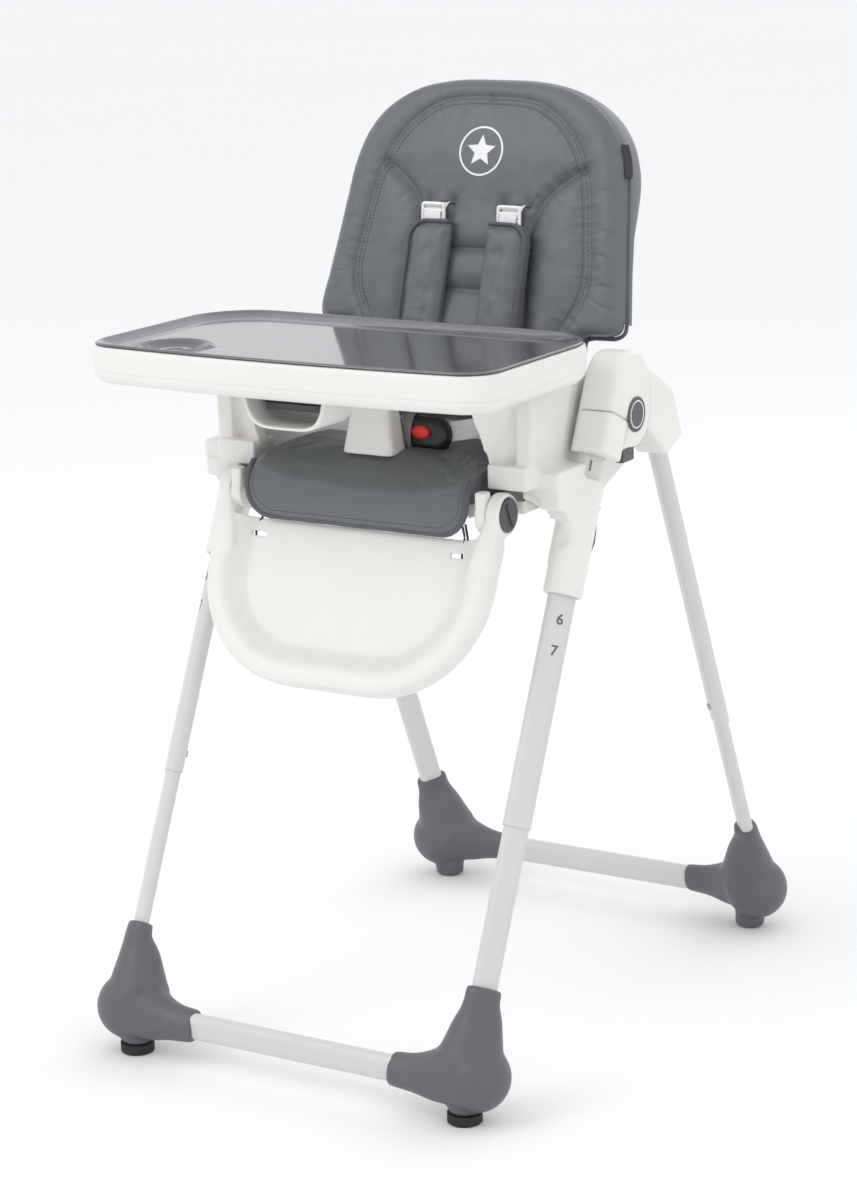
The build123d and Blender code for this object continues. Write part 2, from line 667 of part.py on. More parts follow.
def calf_panel():
    panel = calf_plate(calf_outline(), -18, 10)
    panel = fillet(panel.faces().sort_by(Axis.Y)[0].edges(), 7)
    open_top = Pos(0, -CALF_TOP_EDGE - 10) * Rectangle(2 * (CALF_HALF - 27), 80)
    dish = calf_plate(calf_outline(26) + open_top, -40, 2)
    hollow = calf_plate(calf_outline(4), 5, 40)
    panel = panel - dish - hollow
    arm = calf_place() * block((158, CALF_HALF - 1), (-17, 5), (-60, -24))
    ear = rod_x(EAR_RADIUS, *CALF_PIVOT, CALF_EAR_INNER, CALF_HALF)
    arm = arm + ear
    for sign in (1, -1):
        panel += on_side(sign, arm)
    panel -= both_sides(rod_x(EAR_RADIUS + 1, *CALF_PIVOT, 150, CALF_EAR_INNER))
    panel -= both_sides(rod_x(6 + RUNNING_GAP, *CALF_PIVOT, 150, 182))
    panel -= both_sides(rod_x(BUTTON_RADIUS + 0.3, *CALF_PIVOT, 183, 200))
    for x in (-134, 134):
        panel -= calf_place() * Pos(x, 0, -52) * Box(20, 60, 6)
    return panel


def calf_button():
    disc = rod_x(BUTTON_RADIUS, *CALF_PIVOT, 186.2, 190.6)
    disc = chamfer(outer_edges(disc), 0.8)
    ridge = Pos(191.6, *CALF_PIVOT) * Rot(25, 0, 0) * Box(3.2, 5, 30)
    return disc + fillet(ridge.edges().filter_by(Axis.X), 2)


# ---- tray ---------------------------------------------------------------
def tray_outline(inset=0.0):
    """Top view of the tray: bowed front, tight front corners and wide rear corners."""
    rear_half = TRAY_REAR_HALF
    front_half = TRAY_FRONT_HALF
    front = ThreePointArc((-front_half, TRAY_FRONT), (0, TRAY_FRONT - TRAY_BOW), (front_half, TRAY_FRONT))
    rest = Polyline((front_half, TRAY_FRONT), (rear_half, TRAY_REAR), (-rear_half, TRAY_REAR),
                    (-front_half, TRAY_FRONT))
    face = make_face(Wire(front.edges() + rest.edges()))
    face = fillet(face.vertices().group_by(Axis.Y)[-1], TRAY_REAR_CORNER)
    face = fillet(face.vertices().group_by(Axis.Y)[0], TRAY_FRONT_CORNER)
    return offset(face, -inset) if inset else face


def tray_slab(inset, low, high):
    return Pos(0, 0, low) * extrude(tray_outline(inset), high - low)


def tray_body():
    body = tray_slab(0, TRAY_BOTTOM, TRAY_TOP)
    body = fillet(body.faces().sort_by(Axis.Z)[0].edges(), 15)
    body = fillet(body.faces().sort_by(Axis.Z)[-1].edges(), 4)
    body -= tray_slab(9, 835.2, 860)
    body -= Pos(*CUP_CENTRE, 828.7) * Cylinder(
        CUP_RADIUS + 4, 20, align=(Align.CENTER, Align.CENTER, Align.MIN))
    body -= tray_slab(22, 780, 822)
    body += both_sides(block((150, 156), (110, 240), (ARM_TOP - 10, 824)))
    body += tray_pocket()
    return body


def tray_pocket():
    """Scoop under the front edge that the release handle sits in."""
    outer = Polyline((-56, 824), (-52, 782), (-40, 766), (-26, 762), (26, 762), (40, 766), (52, 782),
                     (56, 824), (-56, 824))
    section = make_face(outer)
    plane = Plane(origin=(0, 86, 0), x_dir=(1, 0, 0), z_dir=(0, -1, 0))
    scoop = extrude(plane * section, 66)
    scoop = fillet(scoop.edges().filter_by(Axis.Y).filter_by(lambda e: e.center().Z < 790), 8)
    hollow = Polyline((-51, 830), (-48, 783), (-38, 770), (-26, 766), (26, 766), (38, 770), (48, 783),
                      (51, 830), (-51, 830))
    return scoop - extrude(Plane(origin=(0, 82, 0), x_dir=(1, 0, 0), z_dir=(0, -1, 0))
                           * make_face(hollow), 90)


def release_handle():
    """Pull bar across the scoop. Drawn forward, it frees the tray."""
    bar = block((-43, 43), (52, 60), (782, 808))
    grip = block((-38, 38), (44, 60), (780, 788))
    return fillet((bar + grip).edges().filter_by(Axis.X), 1.5)


def crotch_post():
    """Post that hangs from the tray between the child's legs."""
    foot = Pos(0, 205, 704) * RectangleRounded(68, 38, 8)
    waist = Pos(0, 208, 752) * RectangleRounded(54, 30, 8)
    head = Pos(0, 208, TRAY_BOTTOM + 24) * RectangleRounded(52, 30, 8)
    return loft([foot, waist, head], ruled=True)


def tray_insert():
    """Lift-off liner: a rolled rim, a flat floor and a round cup well."""
    insert = tray_slab(3.5, TRAY_TOP + 0.2, TRAY_TOP + 3.2)
    insert += tray_slab(10, 835.5, TRAY_TOP + 0.2)
    insert = fillet(insert.faces().sort_by(Axis.Z)[-1].edges(), 2)
    insert -= tray_slab(24, 838, 860)
    cup = Pos(*CUP_CENTRE, 829) * Cylinder(
        CUP_RADIUS + 3, 9, align=(Align.CENTER, Align.CENTER, Align.MIN))
    insert += cup
    well = Pos(*CUP_CENTRE, 831.5) * Cylinder(
        CUP_RADIUS, 20, align=(Align.CENTER, Align.CENTER, Align.MIN))
    return insert - well


# ---- build --------------------------------------------------------------
def build_front_frame():
    save(crossbar(FRONT_BAR_Y), "front_crossbar")
    for name, side in SIDES.items():
        save(on_side(side, front_upper_tube()), f"front_leg_upper_{name}")
        save(on_side(side, front_lower_tube()), f"front_leg_lower_{name}")
        save(on_side(side, front_cap()), f"front_foot_cap_{name}")
        save(on_side(side, hub_shell(True)), f"hub_outer_shell_{name}")
        save(on_side(side, hub_shell(False)), f"hub_inner_shell_{name}")
        save(on_side(side, hub_collar()), f"hub_collar_{name}")
        save(on_side(side, fold_button()), f"fold_button_{name}")
        button = snap_button(front_leg(), TUBE_TURN, FRONT_JOINT + SNAP_ABOVE_JOINT)
        save(on_side(side, button), f"front_snap_button_{name}")
    save(both_sides(foot_pad()), "front_foot_pads")
    save(both_sides(hub_badge()), "hub_badges")
    save(both_sides(fold_pin()), "fold_pivot_pins")
    save(both_sides(hub_screws()), "hub_screws")
    save(cap_screws(FRONT_BAR_Y, 1), "front_cap_screws")


def build_rear_frame():
    save(crossbar(REAR_BAR_Y), "rear_crossbar")
    save(cap_screws(REAR_BAR_Y, -1), "rear_cap_screws")
    for name, side in SIDES.items():
        save(on_side(side, rear_socket()), f"rear_socket_{name}")
        save(on_side(side, rear_upper_tube()), f"rear_leg_upper_{name}")
        save(on_side(side, rear_lower_tube()), f"rear_leg_lower_{name}")
        save(on_side(side, rear_cap()), f"rear_foot_cap_{name}")
        button = snap_button(rear_snap_place(), rear_snap_turn(), 0)
        save(on_side(side, button), f"rear_snap_button_{name}")


def build_seat():
    for name, side in SIDES.items():
        save(on_side(side, side_panel()), f"side_panel_{name}")
        save(on_side(side, height_lever()), f"height_lever_{name}")
        save(on_side(side, calf_button()), f"calf_button_{name}")
    save(seat_pan(), "seat_pan")
    save(seat_cushion(), "seat_cushion")
    save(flap_strip(), "seat_flap")
    pins = seat_pins()
    save(Compound(children=list(pins.solids()) + list(mirror(pins, about=Plane.YZ).solids())),
         "seat_pivot_pins")
    save(both_sides(height_lever_pin()), "height_lever_pins")
    save(harness_webbing(), "harness_webbing")
    save(buckle_body(), "buckle_body")
    save(buckle_button(), "buckle_button")
    save(calf_panel(), "calf_panel")


def build_backrest():
    save(back_shell(), "backrest_shell")
    save(back_cushion(), "back_cushion")
    save(recline_lever(), "recline_lever")
    save(recline_guides(), "recline_guides")
    save(shoulder_straps(), "shoulder_straps")
    save(shoulder_pads(), "shoulder_pads")
    save(strap_adjusters(), "strap_adjusters")


def build_tray():
    save(tray_body(), "tray_body")
    save(tray_insert(), "tray_insert")
    save(release_handle(), "tray_release_handle")
    save(crotch_post(), "crotch_post")


os.makedirs("parts", exist_ok=True)
build_front_frame()
build_rear_frame()
build_seat()
build_backrest()
build_tray()
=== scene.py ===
import math

import bmesh
import bpy
import numpy as np
from mathutils import Matrix, Vector, noise
from mathutils.bvhtree import BVHTree


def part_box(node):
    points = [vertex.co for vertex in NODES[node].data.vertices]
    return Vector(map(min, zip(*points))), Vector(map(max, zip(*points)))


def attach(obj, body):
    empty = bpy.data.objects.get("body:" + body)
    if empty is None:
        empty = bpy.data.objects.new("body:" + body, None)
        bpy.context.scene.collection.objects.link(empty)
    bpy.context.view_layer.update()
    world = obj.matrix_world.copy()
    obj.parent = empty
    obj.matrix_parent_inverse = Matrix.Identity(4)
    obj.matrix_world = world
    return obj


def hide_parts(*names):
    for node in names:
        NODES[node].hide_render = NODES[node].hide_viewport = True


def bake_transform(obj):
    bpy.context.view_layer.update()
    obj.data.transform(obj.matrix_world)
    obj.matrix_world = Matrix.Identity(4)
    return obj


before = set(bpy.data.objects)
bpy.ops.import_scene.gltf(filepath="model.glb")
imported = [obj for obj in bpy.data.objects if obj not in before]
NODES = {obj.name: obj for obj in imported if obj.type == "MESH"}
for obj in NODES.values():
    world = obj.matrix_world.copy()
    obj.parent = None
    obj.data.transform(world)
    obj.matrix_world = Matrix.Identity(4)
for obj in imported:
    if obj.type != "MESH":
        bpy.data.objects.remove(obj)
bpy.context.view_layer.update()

SIDES = (("left", -1), ("right", 1))
MM = 0.001
STRAP_SLIT_Z = 5.5                # height of the strap slots on the back
BACK_LEAN = math.radians(17)      # the back leans this far from the vertical
LEG_LEAN = math.radians(25)       # the front legs and the calf rest lean this far
REAR_LEAN = math.radians(24.1)
REAR_LEG_LENGTH = 598


# ---- measures taken from the frame --------------------------------------
def mid(node):
    low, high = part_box(node)
    return (Vector(low) + Vector(high)) / 2


def low(node):
    return Vector(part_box(node)[0])


FRONT_PADS_Y = mid("front_foot_pads").y


def at(x, y, z):
    """A point in metres from millimetres, with y measured from the front foot pads."""
    return Vector((x * MM, FRONT_PADS_Y + y * MM, z * MM))


def leaning_frame(origin, lean):
    """Matrix at origin with +X sideways, +Z up a surface that leans back and +Y behind it."""
    up = Vector((0, math.sin(lean), math.cos(lean)))
    side = Vector((1, 0, 0))
    back = up.cross(side)
    matrix = Matrix((side, back, up)).transposed().to_4x4()
    matrix.translation = origin
    return matrix


# ---- materials ----------------------------------------------------------
def new_material(name, colour, roughness, spread=0.04, patch=14.0, bump=0.06, grain=900.0, **sockets):
    """Moulded or painted finish: soft colour patches and a fine grain in the bump."""
    material = bpy.data.materials.new(name)
    material.use_nodes = True
    nodes, links = material.node_tree.nodes, material.node_tree.links
    shader = nodes["Principled BSDF"]
    shader.inputs["Roughness"].default_value = roughness
    for key, value in sockets.items():
        shader.inputs[key.replace("_", " ")].default_value = value
    place = nodes.new("ShaderNodeTexCoord")
    patches = nodes.new("ShaderNodeTexNoise")
    patches.inputs["Scale"].default_value = patch
    patches.inputs["Detail"].default_value = 4
    ramp = nodes.new("ShaderNodeValToRGB")
    ramp.color_ramp.elements[0].position = 0.3
    ramp.color_ramp.elements[1].position = 0.7
    ramp.color_ramp.elements[0].color = (*[c * (1 - spread) for c in colour], 1)
    ramp.color_ramp.elements[1].color = (*[min(1, c * (1 + spread)) for c in colour], 1)
    links.new(place.outputs["Object"], patches.inputs["Vector"])
    links.new(patches.outputs["Fac"], ramp.inputs["Fac"])
    links.new(ramp.outputs["Color"], shader.inputs["Base Color"])
    fine = nodes.new("ShaderNodeTexNoise")
    fine.inputs["Scale"].default_value = grain
    fine.inputs["Detail"].default_value = 2
    links.new(place.outputs["Object"], fine.inputs["Vector"])
    add_bump(nodes, links, shader, fine.outputs["Fac"], bump, 0.0004)
    return material


def add_bump(nodes, links, shader, height, strength, distance):
    bump = nodes.new("ShaderNodeBump")
    bump.inputs["Strength"].default_value = strength
    bump.inputs["Distance"].default_value = distance
    links.new(height, bump.inputs["Height"])
    links.new(bump.outputs["Normal"], shader.inputs["Normal"])


def woven_material(name, colour, roughness, pitch, depth=0.5, sheen=0.2, spread=0.12):
    """Woven cloth: two crossed sets of threads, about pitch metres apart."""
    material = bpy.data.materials.new(name)
    material.use_nodes = True
    nodes, links = material.node_tree.nodes, material.node_tree.links
    shader = nodes["Principled BSDF"]
    shader.inputs["Roughness"].default_value = roughness
    shader.inputs["Sheen Weight"].default_value = sheen
    shader.inputs["Sheen Roughness"].default_value = 0.5
    place = nodes.new("ShaderNodeTexCoord")
    threads = []
    for direction in ("X", "Z"):
        wave = nodes.new("ShaderNodeTexWave")
        wave.bands_direction = direction
        wave.inputs["Scale"].default_value = 0.314 / pitch
        wave.inputs["Distortion"].default_value = 0.6
        wave.inputs["Detail Scale"].default_value = 2.0
        links.new(place.outputs["Object"], wave.inputs["Vector"])
        threads.append(wave.outputs["Fac"])
    weave = nodes.new("ShaderNodeMath")
    weave.operation = "MULTIPLY"
    links.new(threads[0], weave.inputs[0])
    links.new(threads[1], weave.inputs[1])
    patches = nodes.new("ShaderNodeTexNoise")
    patches.inputs["Scale"].default_value = 45
    links.new(place.outputs["Object"], patches.inputs["Vector"])
    mix = nodes.new("ShaderNodeMath")
    mix.operation = "MULTIPLY_ADD"
    mix.inputs[1].default_value = 0.5
    links.new(weave.outputs[0], mix.inputs[0])
    links.new(patches.outputs["Fac"], mix.inputs[2])
    ramp = nodes.new("ShaderNodeValToRGB")
    ramp.color_ramp.elements[0].position = 0.3
    ramp.color_ramp.elements[1].position = 0.9
    ramp.color_ramp.elements[0].color = (*[c * (1 - spread) for c in colour], 1)
    ramp.color_ramp.elements[1].color = (*[min(1, c * (1 + spread)) for c in colour], 1)
    links.new(mix.outputs[0], ramp.inputs["Fac"])
    links.new(ramp.outputs["Color"], shader.inputs["Base Color"])
    add_bump(nodes, links, shader, weave.outputs[0], depth, 0.0003)
    return material


WHITE = new_material("white_moulding", (0.79, 0.777, 0.735), 0.38, spread=0.015, bump=0.05,
                     Specular_IOR_Level=0.45)
WHITE_PAINT = new_material("white_powder_coat", (0.62, 0.62, 0.605), 0.34, spread=0.012, bump=0.10,
                           grain=1500.0)
GREY = new_material("slate_grey_moulding", (0.105, 0.109, 0.117), 0.42, spread=0.05, bump=0.10, grain=1200.0)
DARK = new_material("dark_grey_moulding", (0.075, 0.078, 0.085), 0.40, spread=0.05, bump=0.08)
LINER = new_material("glossy_grey_moulding", (0.135, 0.137, 0.145), 0.09, spread=0.02, bump=0.01,
                     patch=6.0, Coat_Weight=0.5, Coat_Roughness=0.04)
RUBBER = new_material("black_rubber", (0.02, 0.02, 0.022), 0.75, spread=0.1, bump=0.3, grain=700.0)
STEEL = new_material("zinc_steel", (0.45, 0.45, 0.46), 0.3, spread=0.08, bump=0.05, Metallic=1.0)
BLACK = new_material("black_moulding", (0.012, 0.012, 0.013), 0.32, spread=0.1, bump=0.08)
RED = new_material("red_moulding", (0.72, 0.03, 0.015), 0.28, spread=0.04, bump=0.03)
GLOSS_WHITE = new_material("white_buckle_moulding", (0.88, 0.88, 0.88), 0.25, spread=0.01, bump=0.02)
FABRIC = woven_material("slate_coated_fabric", (0.118, 0.128, 0.134), 0.40, 0.0007, depth=0.10, sheen=0.12,
                        spread=0.05)
BINDING = woven_material("grey_binding_tape", (0.085, 0.088, 0.108), 0.62, 0.0012, depth=0.6)
THREAD = woven_material("stitch_thread", (0.05, 0.052, 0.06), 0.7, 0.0006, depth=0.5)
WEB_GREY = woven_material("grey_webbing", (0.22, 0.22, 0.225), 0.7, 0.0016, depth=0.9)
WEB_WHITE = woven_material("white_webbing", (0.80, 0.80, 0.80), 0.65, 0.0016, depth=0.9, spread=0.08)
PRINT = new_material("white_print", (0.85, 0.85, 0.86), 0.45, spread=0.02, bump=0.1)
NUMERAL = new_material("grey_print", (0.12, 0.12, 0.125), 0.5, spread=0.05, bump=0.1)

GASKET = new_material("brown_gasket", (0.035, 0.026, 0.024), 0.5, spread=0.1, bump=0.1)
TAG = woven_material("dark_woven_tag", (0.03, 0.03, 0.033), 0.6, 0.0009, depth=0.5)

NODE_FINISH = (
    (("front_leg", "rear_leg", "front_crossbar", "rear_crossbar"), WHITE_PAINT),
    (("front_foot_cap", "rear_foot_cap"), GREY),
    (("front_foot_pads",), RUBBER),
    (("hub_screws", "front_cap_screws", "rear_cap_screws", "fold_pivot_pins", "seat_pivot_pins",
      "height_lever_pins", "front_snap", "rear_snap"), STEEL),
    (("hub_badges", "fold_button", "height_lever", "calf_button", "recline_lever", "tray_release"), DARK),
    (("buckle_body",), BLACK),
    (("buckle_button",), RED),
    (("strap_adjusters",), GLOSS_WHITE),
)


def finish_nodes():
    """Give every carried-over CAD node its finish."""
    for name, obj in NODES.items():
        material = next((m for starts, m in NODE_FINISH if name.startswith(starts)), WHITE)
        for slot in obj.material_slots:
            slot.material = material


# ---- mesh helpers -------------------------------------------------------
def new_piece(name, vertices, faces, material, body, smooth=True):
    mesh = bpy.data.meshes.new(name)
    mesh.from_pydata([tuple(v) for v in vertices], [], faces)
    mesh.materials.append(material)
    obj = bpy.data.objects.new(name, mesh)
    bpy.context.scene.collection.objects.link(obj)
    tidy = bmesh.new()
    tidy.from_mesh(mesh)
    bmesh.ops.recalc_face_normals(tidy, faces=tidy.faces)
    tidy.to_mesh(mesh)
    tidy.free()
    if smooth:
        mesh.polygons.foreach_set("use_smooth", [True] * len(mesh.polygons))
    if body:
        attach(obj, body)
    return obj


def loft(rings, closed_ends=(True, True)):
    """Vertices and faces of a skin over closed rings that all have the same number of points."""
    count = len(rings[0])
    vertices = [p for ring in rings for p in ring]
    faces = []
    for k in range(len(rings) - 1):
        for i in range(count):
            j = (i + 1) % count
            faces.append((k * count + i, k * count + j, (k + 1) * count + j, (k + 1) * count + i))
    for at, wanted in ((0, closed_ends[0]), (len(rings) - 1, closed_ends[1])):
        if wanted:
            centre = sum((Vector(p) for p in rings[at]), Vector()) / count
            vertices.append(centre)
            hub = len(vertices) - 1
            for i in range(count):
                faces.append((at * count + i, at * count + (i + 1) % count, hub))
    return vertices, faces


def add_mesh(vertices, faces, more, more_faces):
    """Append one mesh's vertices and faces to another's."""
    offset = len(vertices)
    vertices.extend(more)
    faces.extend(tuple(i + offset for i in face) for face in more_faces)


def modifier(obj, kind, **settings):
    made = obj.modifiers.new(kind.lower(), kind)
    for key, value in settings.items():
        setattr(made, key, value)
    return made


def apply_modifiers(obj):
    graph = bpy.context.evaluated_depsgraph_get()
    mesh = bpy.data.meshes.new_from_object(obj.evaluated_get(graph))
    obj.modifiers.clear()
    obj.data = mesh


def turns(count):
    """Evenly spaced angles of one full turn."""
    return [2 * math.pi * k / count for k in range(count)]


def smoothstep(a, b, x):
    t = min(1.0, max(0.0, (x - a) / (b - a)))
    return t * t * (3 - 2 * t)


def curve_points(controls, count):
    """Evenly numbered points on a smooth spline through the controls."""
    points = []
    ends = [controls[0]] + list(controls) + [controls[-1]]
    spans = len(controls) - 1
    for n in range(count):
        t = n / (count - 1) * spans
        k = min(spans - 1, int(t))
        t -= k
        p0, p1, p2, p3 = (Vector(ends[k + i]) for i in range(4))
        points.append(0.5 * (2 * p1 + (p2 - p0) * t + (2 * p0 - 5 * p1 + 4 * p2 - p3) * t * t
                             + (3 * p1 - p0 - 3 * p2 + p3) * t * t * t))
    return points


def tube_rings(path, radius, sides=8, normal=None, flat=1.0):
    """Rings of a tube along path; flat squashes it across the given normal."""
    rings = []
    for i, point in enumerate(path):
        ahead = path[min(i + 1, len(path) - 1)] - path[max(i - 1, 0)]
        ahead.normalize()
        across = (normal if normal else Vector((0, 0, 1))).cross(ahead)
        if across.length < 1e-6:
            across = Vector((1, 0, 0))
        across.normalize()
        up = ahead.cross(across)
        ring = []
        for k in range(sides):
            a = 2 * math.pi * k / sides
            ring.append(point + across * radius * math.cos(a) + up * radius * flat * math.sin(a))
        rings.append(ring)
    return rings


# ---- seams and puffed cloth ---------------------------------------------
def local_points(obj, frame_matrix):
    """The mesh's points in millimetres in that frame."""
    inverse = np.array((frame_matrix.inverted()), float)
    points = np.empty(len(obj.data.vertices) * 3)
    obj.data.vertices.foreach_get("co", points)
    points = points.reshape(-1, 3)
    return (points @ inverse[:3, :3].T + inverse[:3, 3]) / MM


def set_points(obj, frame_matrix, points):
    matrix = np.array(frame_matrix, float)
    moved = (points * MM) @ matrix[:3, :3].T + matrix[:3, 3]
    obj.data.vertices.foreach_set("co", moved.ravel())
    obj.data.update()


def seam_distance(points, line):
    """Distance from each (across, up) point to a polyline, and how far along it the nearest place is."""
    best = np.full(len(points), 1e9)
    along = np.zeros(len(points))
    start = 0.0
    for a, b in zip(line, line[1:]):
        a, b = np.array(a, float), np.array(b, float)
        run = b - a
        length = np.linalg.norm(run)
        t = np.clip((points - a) @ run / max(length ** 2, 1e-9), 0, 1)
        distance = np.linalg.norm(points - (a + t[:, None] * run), axis=1)
        nearer = distance < best
        best[nearer] = distance[nearer]
        along[nearer] = start + t[nearer] * length
        start += length
    return best, along


def smooth_line(controls, count=60):
    return [tuple(p[:2]) for p in curve_points([Vector((x, y, 0)) for x, y in controls], count)]


def mirrored(line):
    return [(-x, y) for x, y in line]


def remesh(obj, voxel):
    modifier(obj, "REMESH", mode="VOXEL", voxel_size=voxel)
    apply_modifiers(obj)


def subdivide(obj, levels=1):
    modifier(obj, "SUBSURF", levels=levels, render_levels=levels)
    apply_modifiers(obj)


def smooth_shading(obj):
    obj.data.polygons.foreach_set("use_smooth", [True] * len(obj.data.polygons))


def puff(obj, held, cap, pressure=4.0, stiffness=15.0):
    """Inflate a closed cloth form with its seams held. No point moves further than cap metres."""
    before = np.empty(len(obj.data.vertices) * 3)
    obj.data.vertices.foreach_get("co", before)
    group = obj.vertex_groups.new(name="held")
    for index, weight in enumerate(held):
        if weight > 0.02:
            group.add([index], float(weight), "REPLACE")
    cloth = obj.modifiers.new("cloth", "CLOTH")
    cloth.settings.quality = 5
    cloth.settings.use_pressure = True
    cloth.settings.uniform_pressure_force = pressure
    cloth.settings.vertex_group_mass = "held"
    cloth.settings.pin_stiffness = 1.0
    cloth.settings.tension_stiffness = stiffness
    cloth.settings.compression_stiffness = stiffness
    cloth.settings.bending_stiffness = 0.5
    cloth.settings.effector_weights.gravity = 0
    cloth.collision_settings.use_collision = False
    cloth.point_cache.frame_start = 1
    cloth.point_cache.frame_end = 20
    for step in range(1, 21):
        bpy.context.scene.frame_set(step)
    apply_modifiers(obj)
    bpy.context.scene.frame_set(1)
    obj.vertex_groups.clear()
    after = np.empty(len(obj.data.vertices) * 3)
    obj.data.vertices.foreach_get("co", after)
    move = (after - before).reshape(-1, 3)
    length = np.linalg.norm(move, axis=1)
    move *= np.minimum(1, cap / np.maximum(length, 1e-9))[:, None]
    obj.data.vertices.foreach_set("co", (before.reshape(-1, 3) + move).ravel())
    obj.data.update()


def wrinkles(points, scale, seed):
    return np.array([noise.noise(Vector((p[0] / scale, p[1] / scale + seed, p[2] / scale))) for p in points])


class Skin:
    """A finished piece's surface, for laying trim, stitches and print on it."""

    def __init__(self, obj, frame_matrix):
        self.frame = frame_matrix
        vertices = [v.co.copy() for v in obj.data.vertices]
        polygons = [tuple(p.vertices) for p in obj.data.polygons]
        self.tree = BVHTree.FromPolygons(vertices, polygons)

    def place(self, across, up, lift, depth=-80.0):
        """World point over (across, up) on the side that faces -Y, raised by lift millimetres."""
        start = self.frame @ (Vector((across, depth, up)) * MM)
        way = (self.frame.to_3x3() @ Vector((0, 1, 0))).normalized()
        hit, normal, _, _ = self.tree.ray_cast(start, way)
        if hit is None:
            hit, normal, _, _ = self.tree.find_nearest(self.frame @ (Vector((across, 0, up)) * MM))
        return hit + normal * lift * MM, normal


def stitches(name, skin, line, body, length=3.2, gap=1.6, radius=0.42, lift=0.05):
    """A row of short threads along a line on a skin."""
    vertices, faces = [], []
    total = [0.0]
    for a, b in zip(line, line[1:]):
        total.append(total[-1] + math.dist(a, b))

    def spot(distance):
        k = max(0, min(len(line) - 2, next((i for i, t in enumerate(total) if t > distance), len(line)) - 1))
        t = (distance - total[k]) / max(1e-9, total[k + 1] - total[k])
        return tuple(a + (b - a) * t for a, b in zip(line[k], line[k + 1]))

    at_mm = 0.0
    while at_mm + length < total[-1]:
        path = []
        normal = None
        for step, rise in ((0, -0.35), (0.25, 0.1), (0.75, 0.1), (1, -0.35)):
            across, up = spot(at_mm + step * length)
            point, normal = skin.place(across, up, lift + rise)
            path.append(point)
        rings = tube_rings(path, radius * MM, 5, normal)
        add_mesh(vertices, faces, *loft(rings))
        at_mm += length + gap
    return new_piece(name, vertices, faces, THREAD, body)


def piping(name, path, body, radius, material, flat=1.0, normal=None, sides=10):
    vertices, faces = loft(tube_rings(path, radius, sides, normal, flat))
    return new_piece(name, vertices, faces, material, body)


# ---- back cushion -------------------------------------------------------
BACK_FACE = at(0, 450, 956)            # middle of the cushion's face, between the strap slots
BACK = leaning_frame(BACK_FACE, BACK_LEAN)
CUSHION_DEPTH = 30.0
WING = ((0, 158), (45, 157.5), (78, 153.5), (104, 147), (128, 136), (148, 122), (163, 106), (176, 84),
        (186, 52), (192, 10), (198, -40), (204, -85), (209, -124), (206, -136), (196, -141))
FOOT = ((170, -141.5), (159, -146), (156, -165), (156, -215), (153, -252), (140, -256), (70, -256), (0, -256))
ARCH = ((0, 132), (30, 131.5), (60, 127.5), (84, 117), (106, 100), (124, 77), (138, 48), (147, 10),
        (152, -25), (157, -60), (157, -85), (151, -108), (140, -128), (129, -150), (122, -180), (118, -250))
BOLSTER = ((136, 52), (115, 39), (95, 22), (82, 2), (75, -18), (73, -40), (76, -90), (80, -150), (78, -250))
SLOT_CORNERS = ((-69, 3), (-35, 3), (35, 3), (69, 3))
PANEL_SEAMS = (-48, -98)


def mirror_loop(half):
    """Closed outline from its right half, which runs from the top middle to the bottom middle."""
    return list(half) + [(-x, y) for x, y in reversed(half[1:-1])]


def back_loop():
    return mirror_loop(smooth_line(WING, 70) + smooth_line(FOOT, 40))


def crowned_form(name, loop, spine, depth, swell, material, rows=9, edge=None):
    """Closed form between two faces of the loop, with round edges. loop is (across, up); +depth is behind."""
    edge = depth / 2 if edge is None else edge
    rings = []
    steps = [math.pi * k / (rows - 1) - math.pi / 2 for k in range(rows)]
    for t in (0.97, 0.7, 0.4, 0.2):
        rings.append([(x + (spine(x, z)[0] - x) * t, -swell * (t * (2 - t)), z + (spine(x, z)[1] - z) * t)
                      for x, z in loop])
    for a in steps:
        inward = edge * (1 - math.cos(a))
        ring = []
        for x, z in loop:
            cx, cz = spine(x, z)
            span = max(1e-6, math.hypot(cx - x, cz - z))
            share = min(0.15, inward / span)
            ring.append((x + (cx - x) * share, depth / 2 + math.sin(a) * depth / 2, z + (cz - z) * share))
        rings.append(ring)
    for t in (0.2, 0.5, 0.97):
        rings.append([(x + (spine(x, z)[0] - x) * t, depth, z + (spine(x, z)[1] - z) * t) for x, z in loop])
    vertices, faces = loft(rings)
    return new_piece(name, [Vector(v) * MM for v in vertices], faces, material, None)


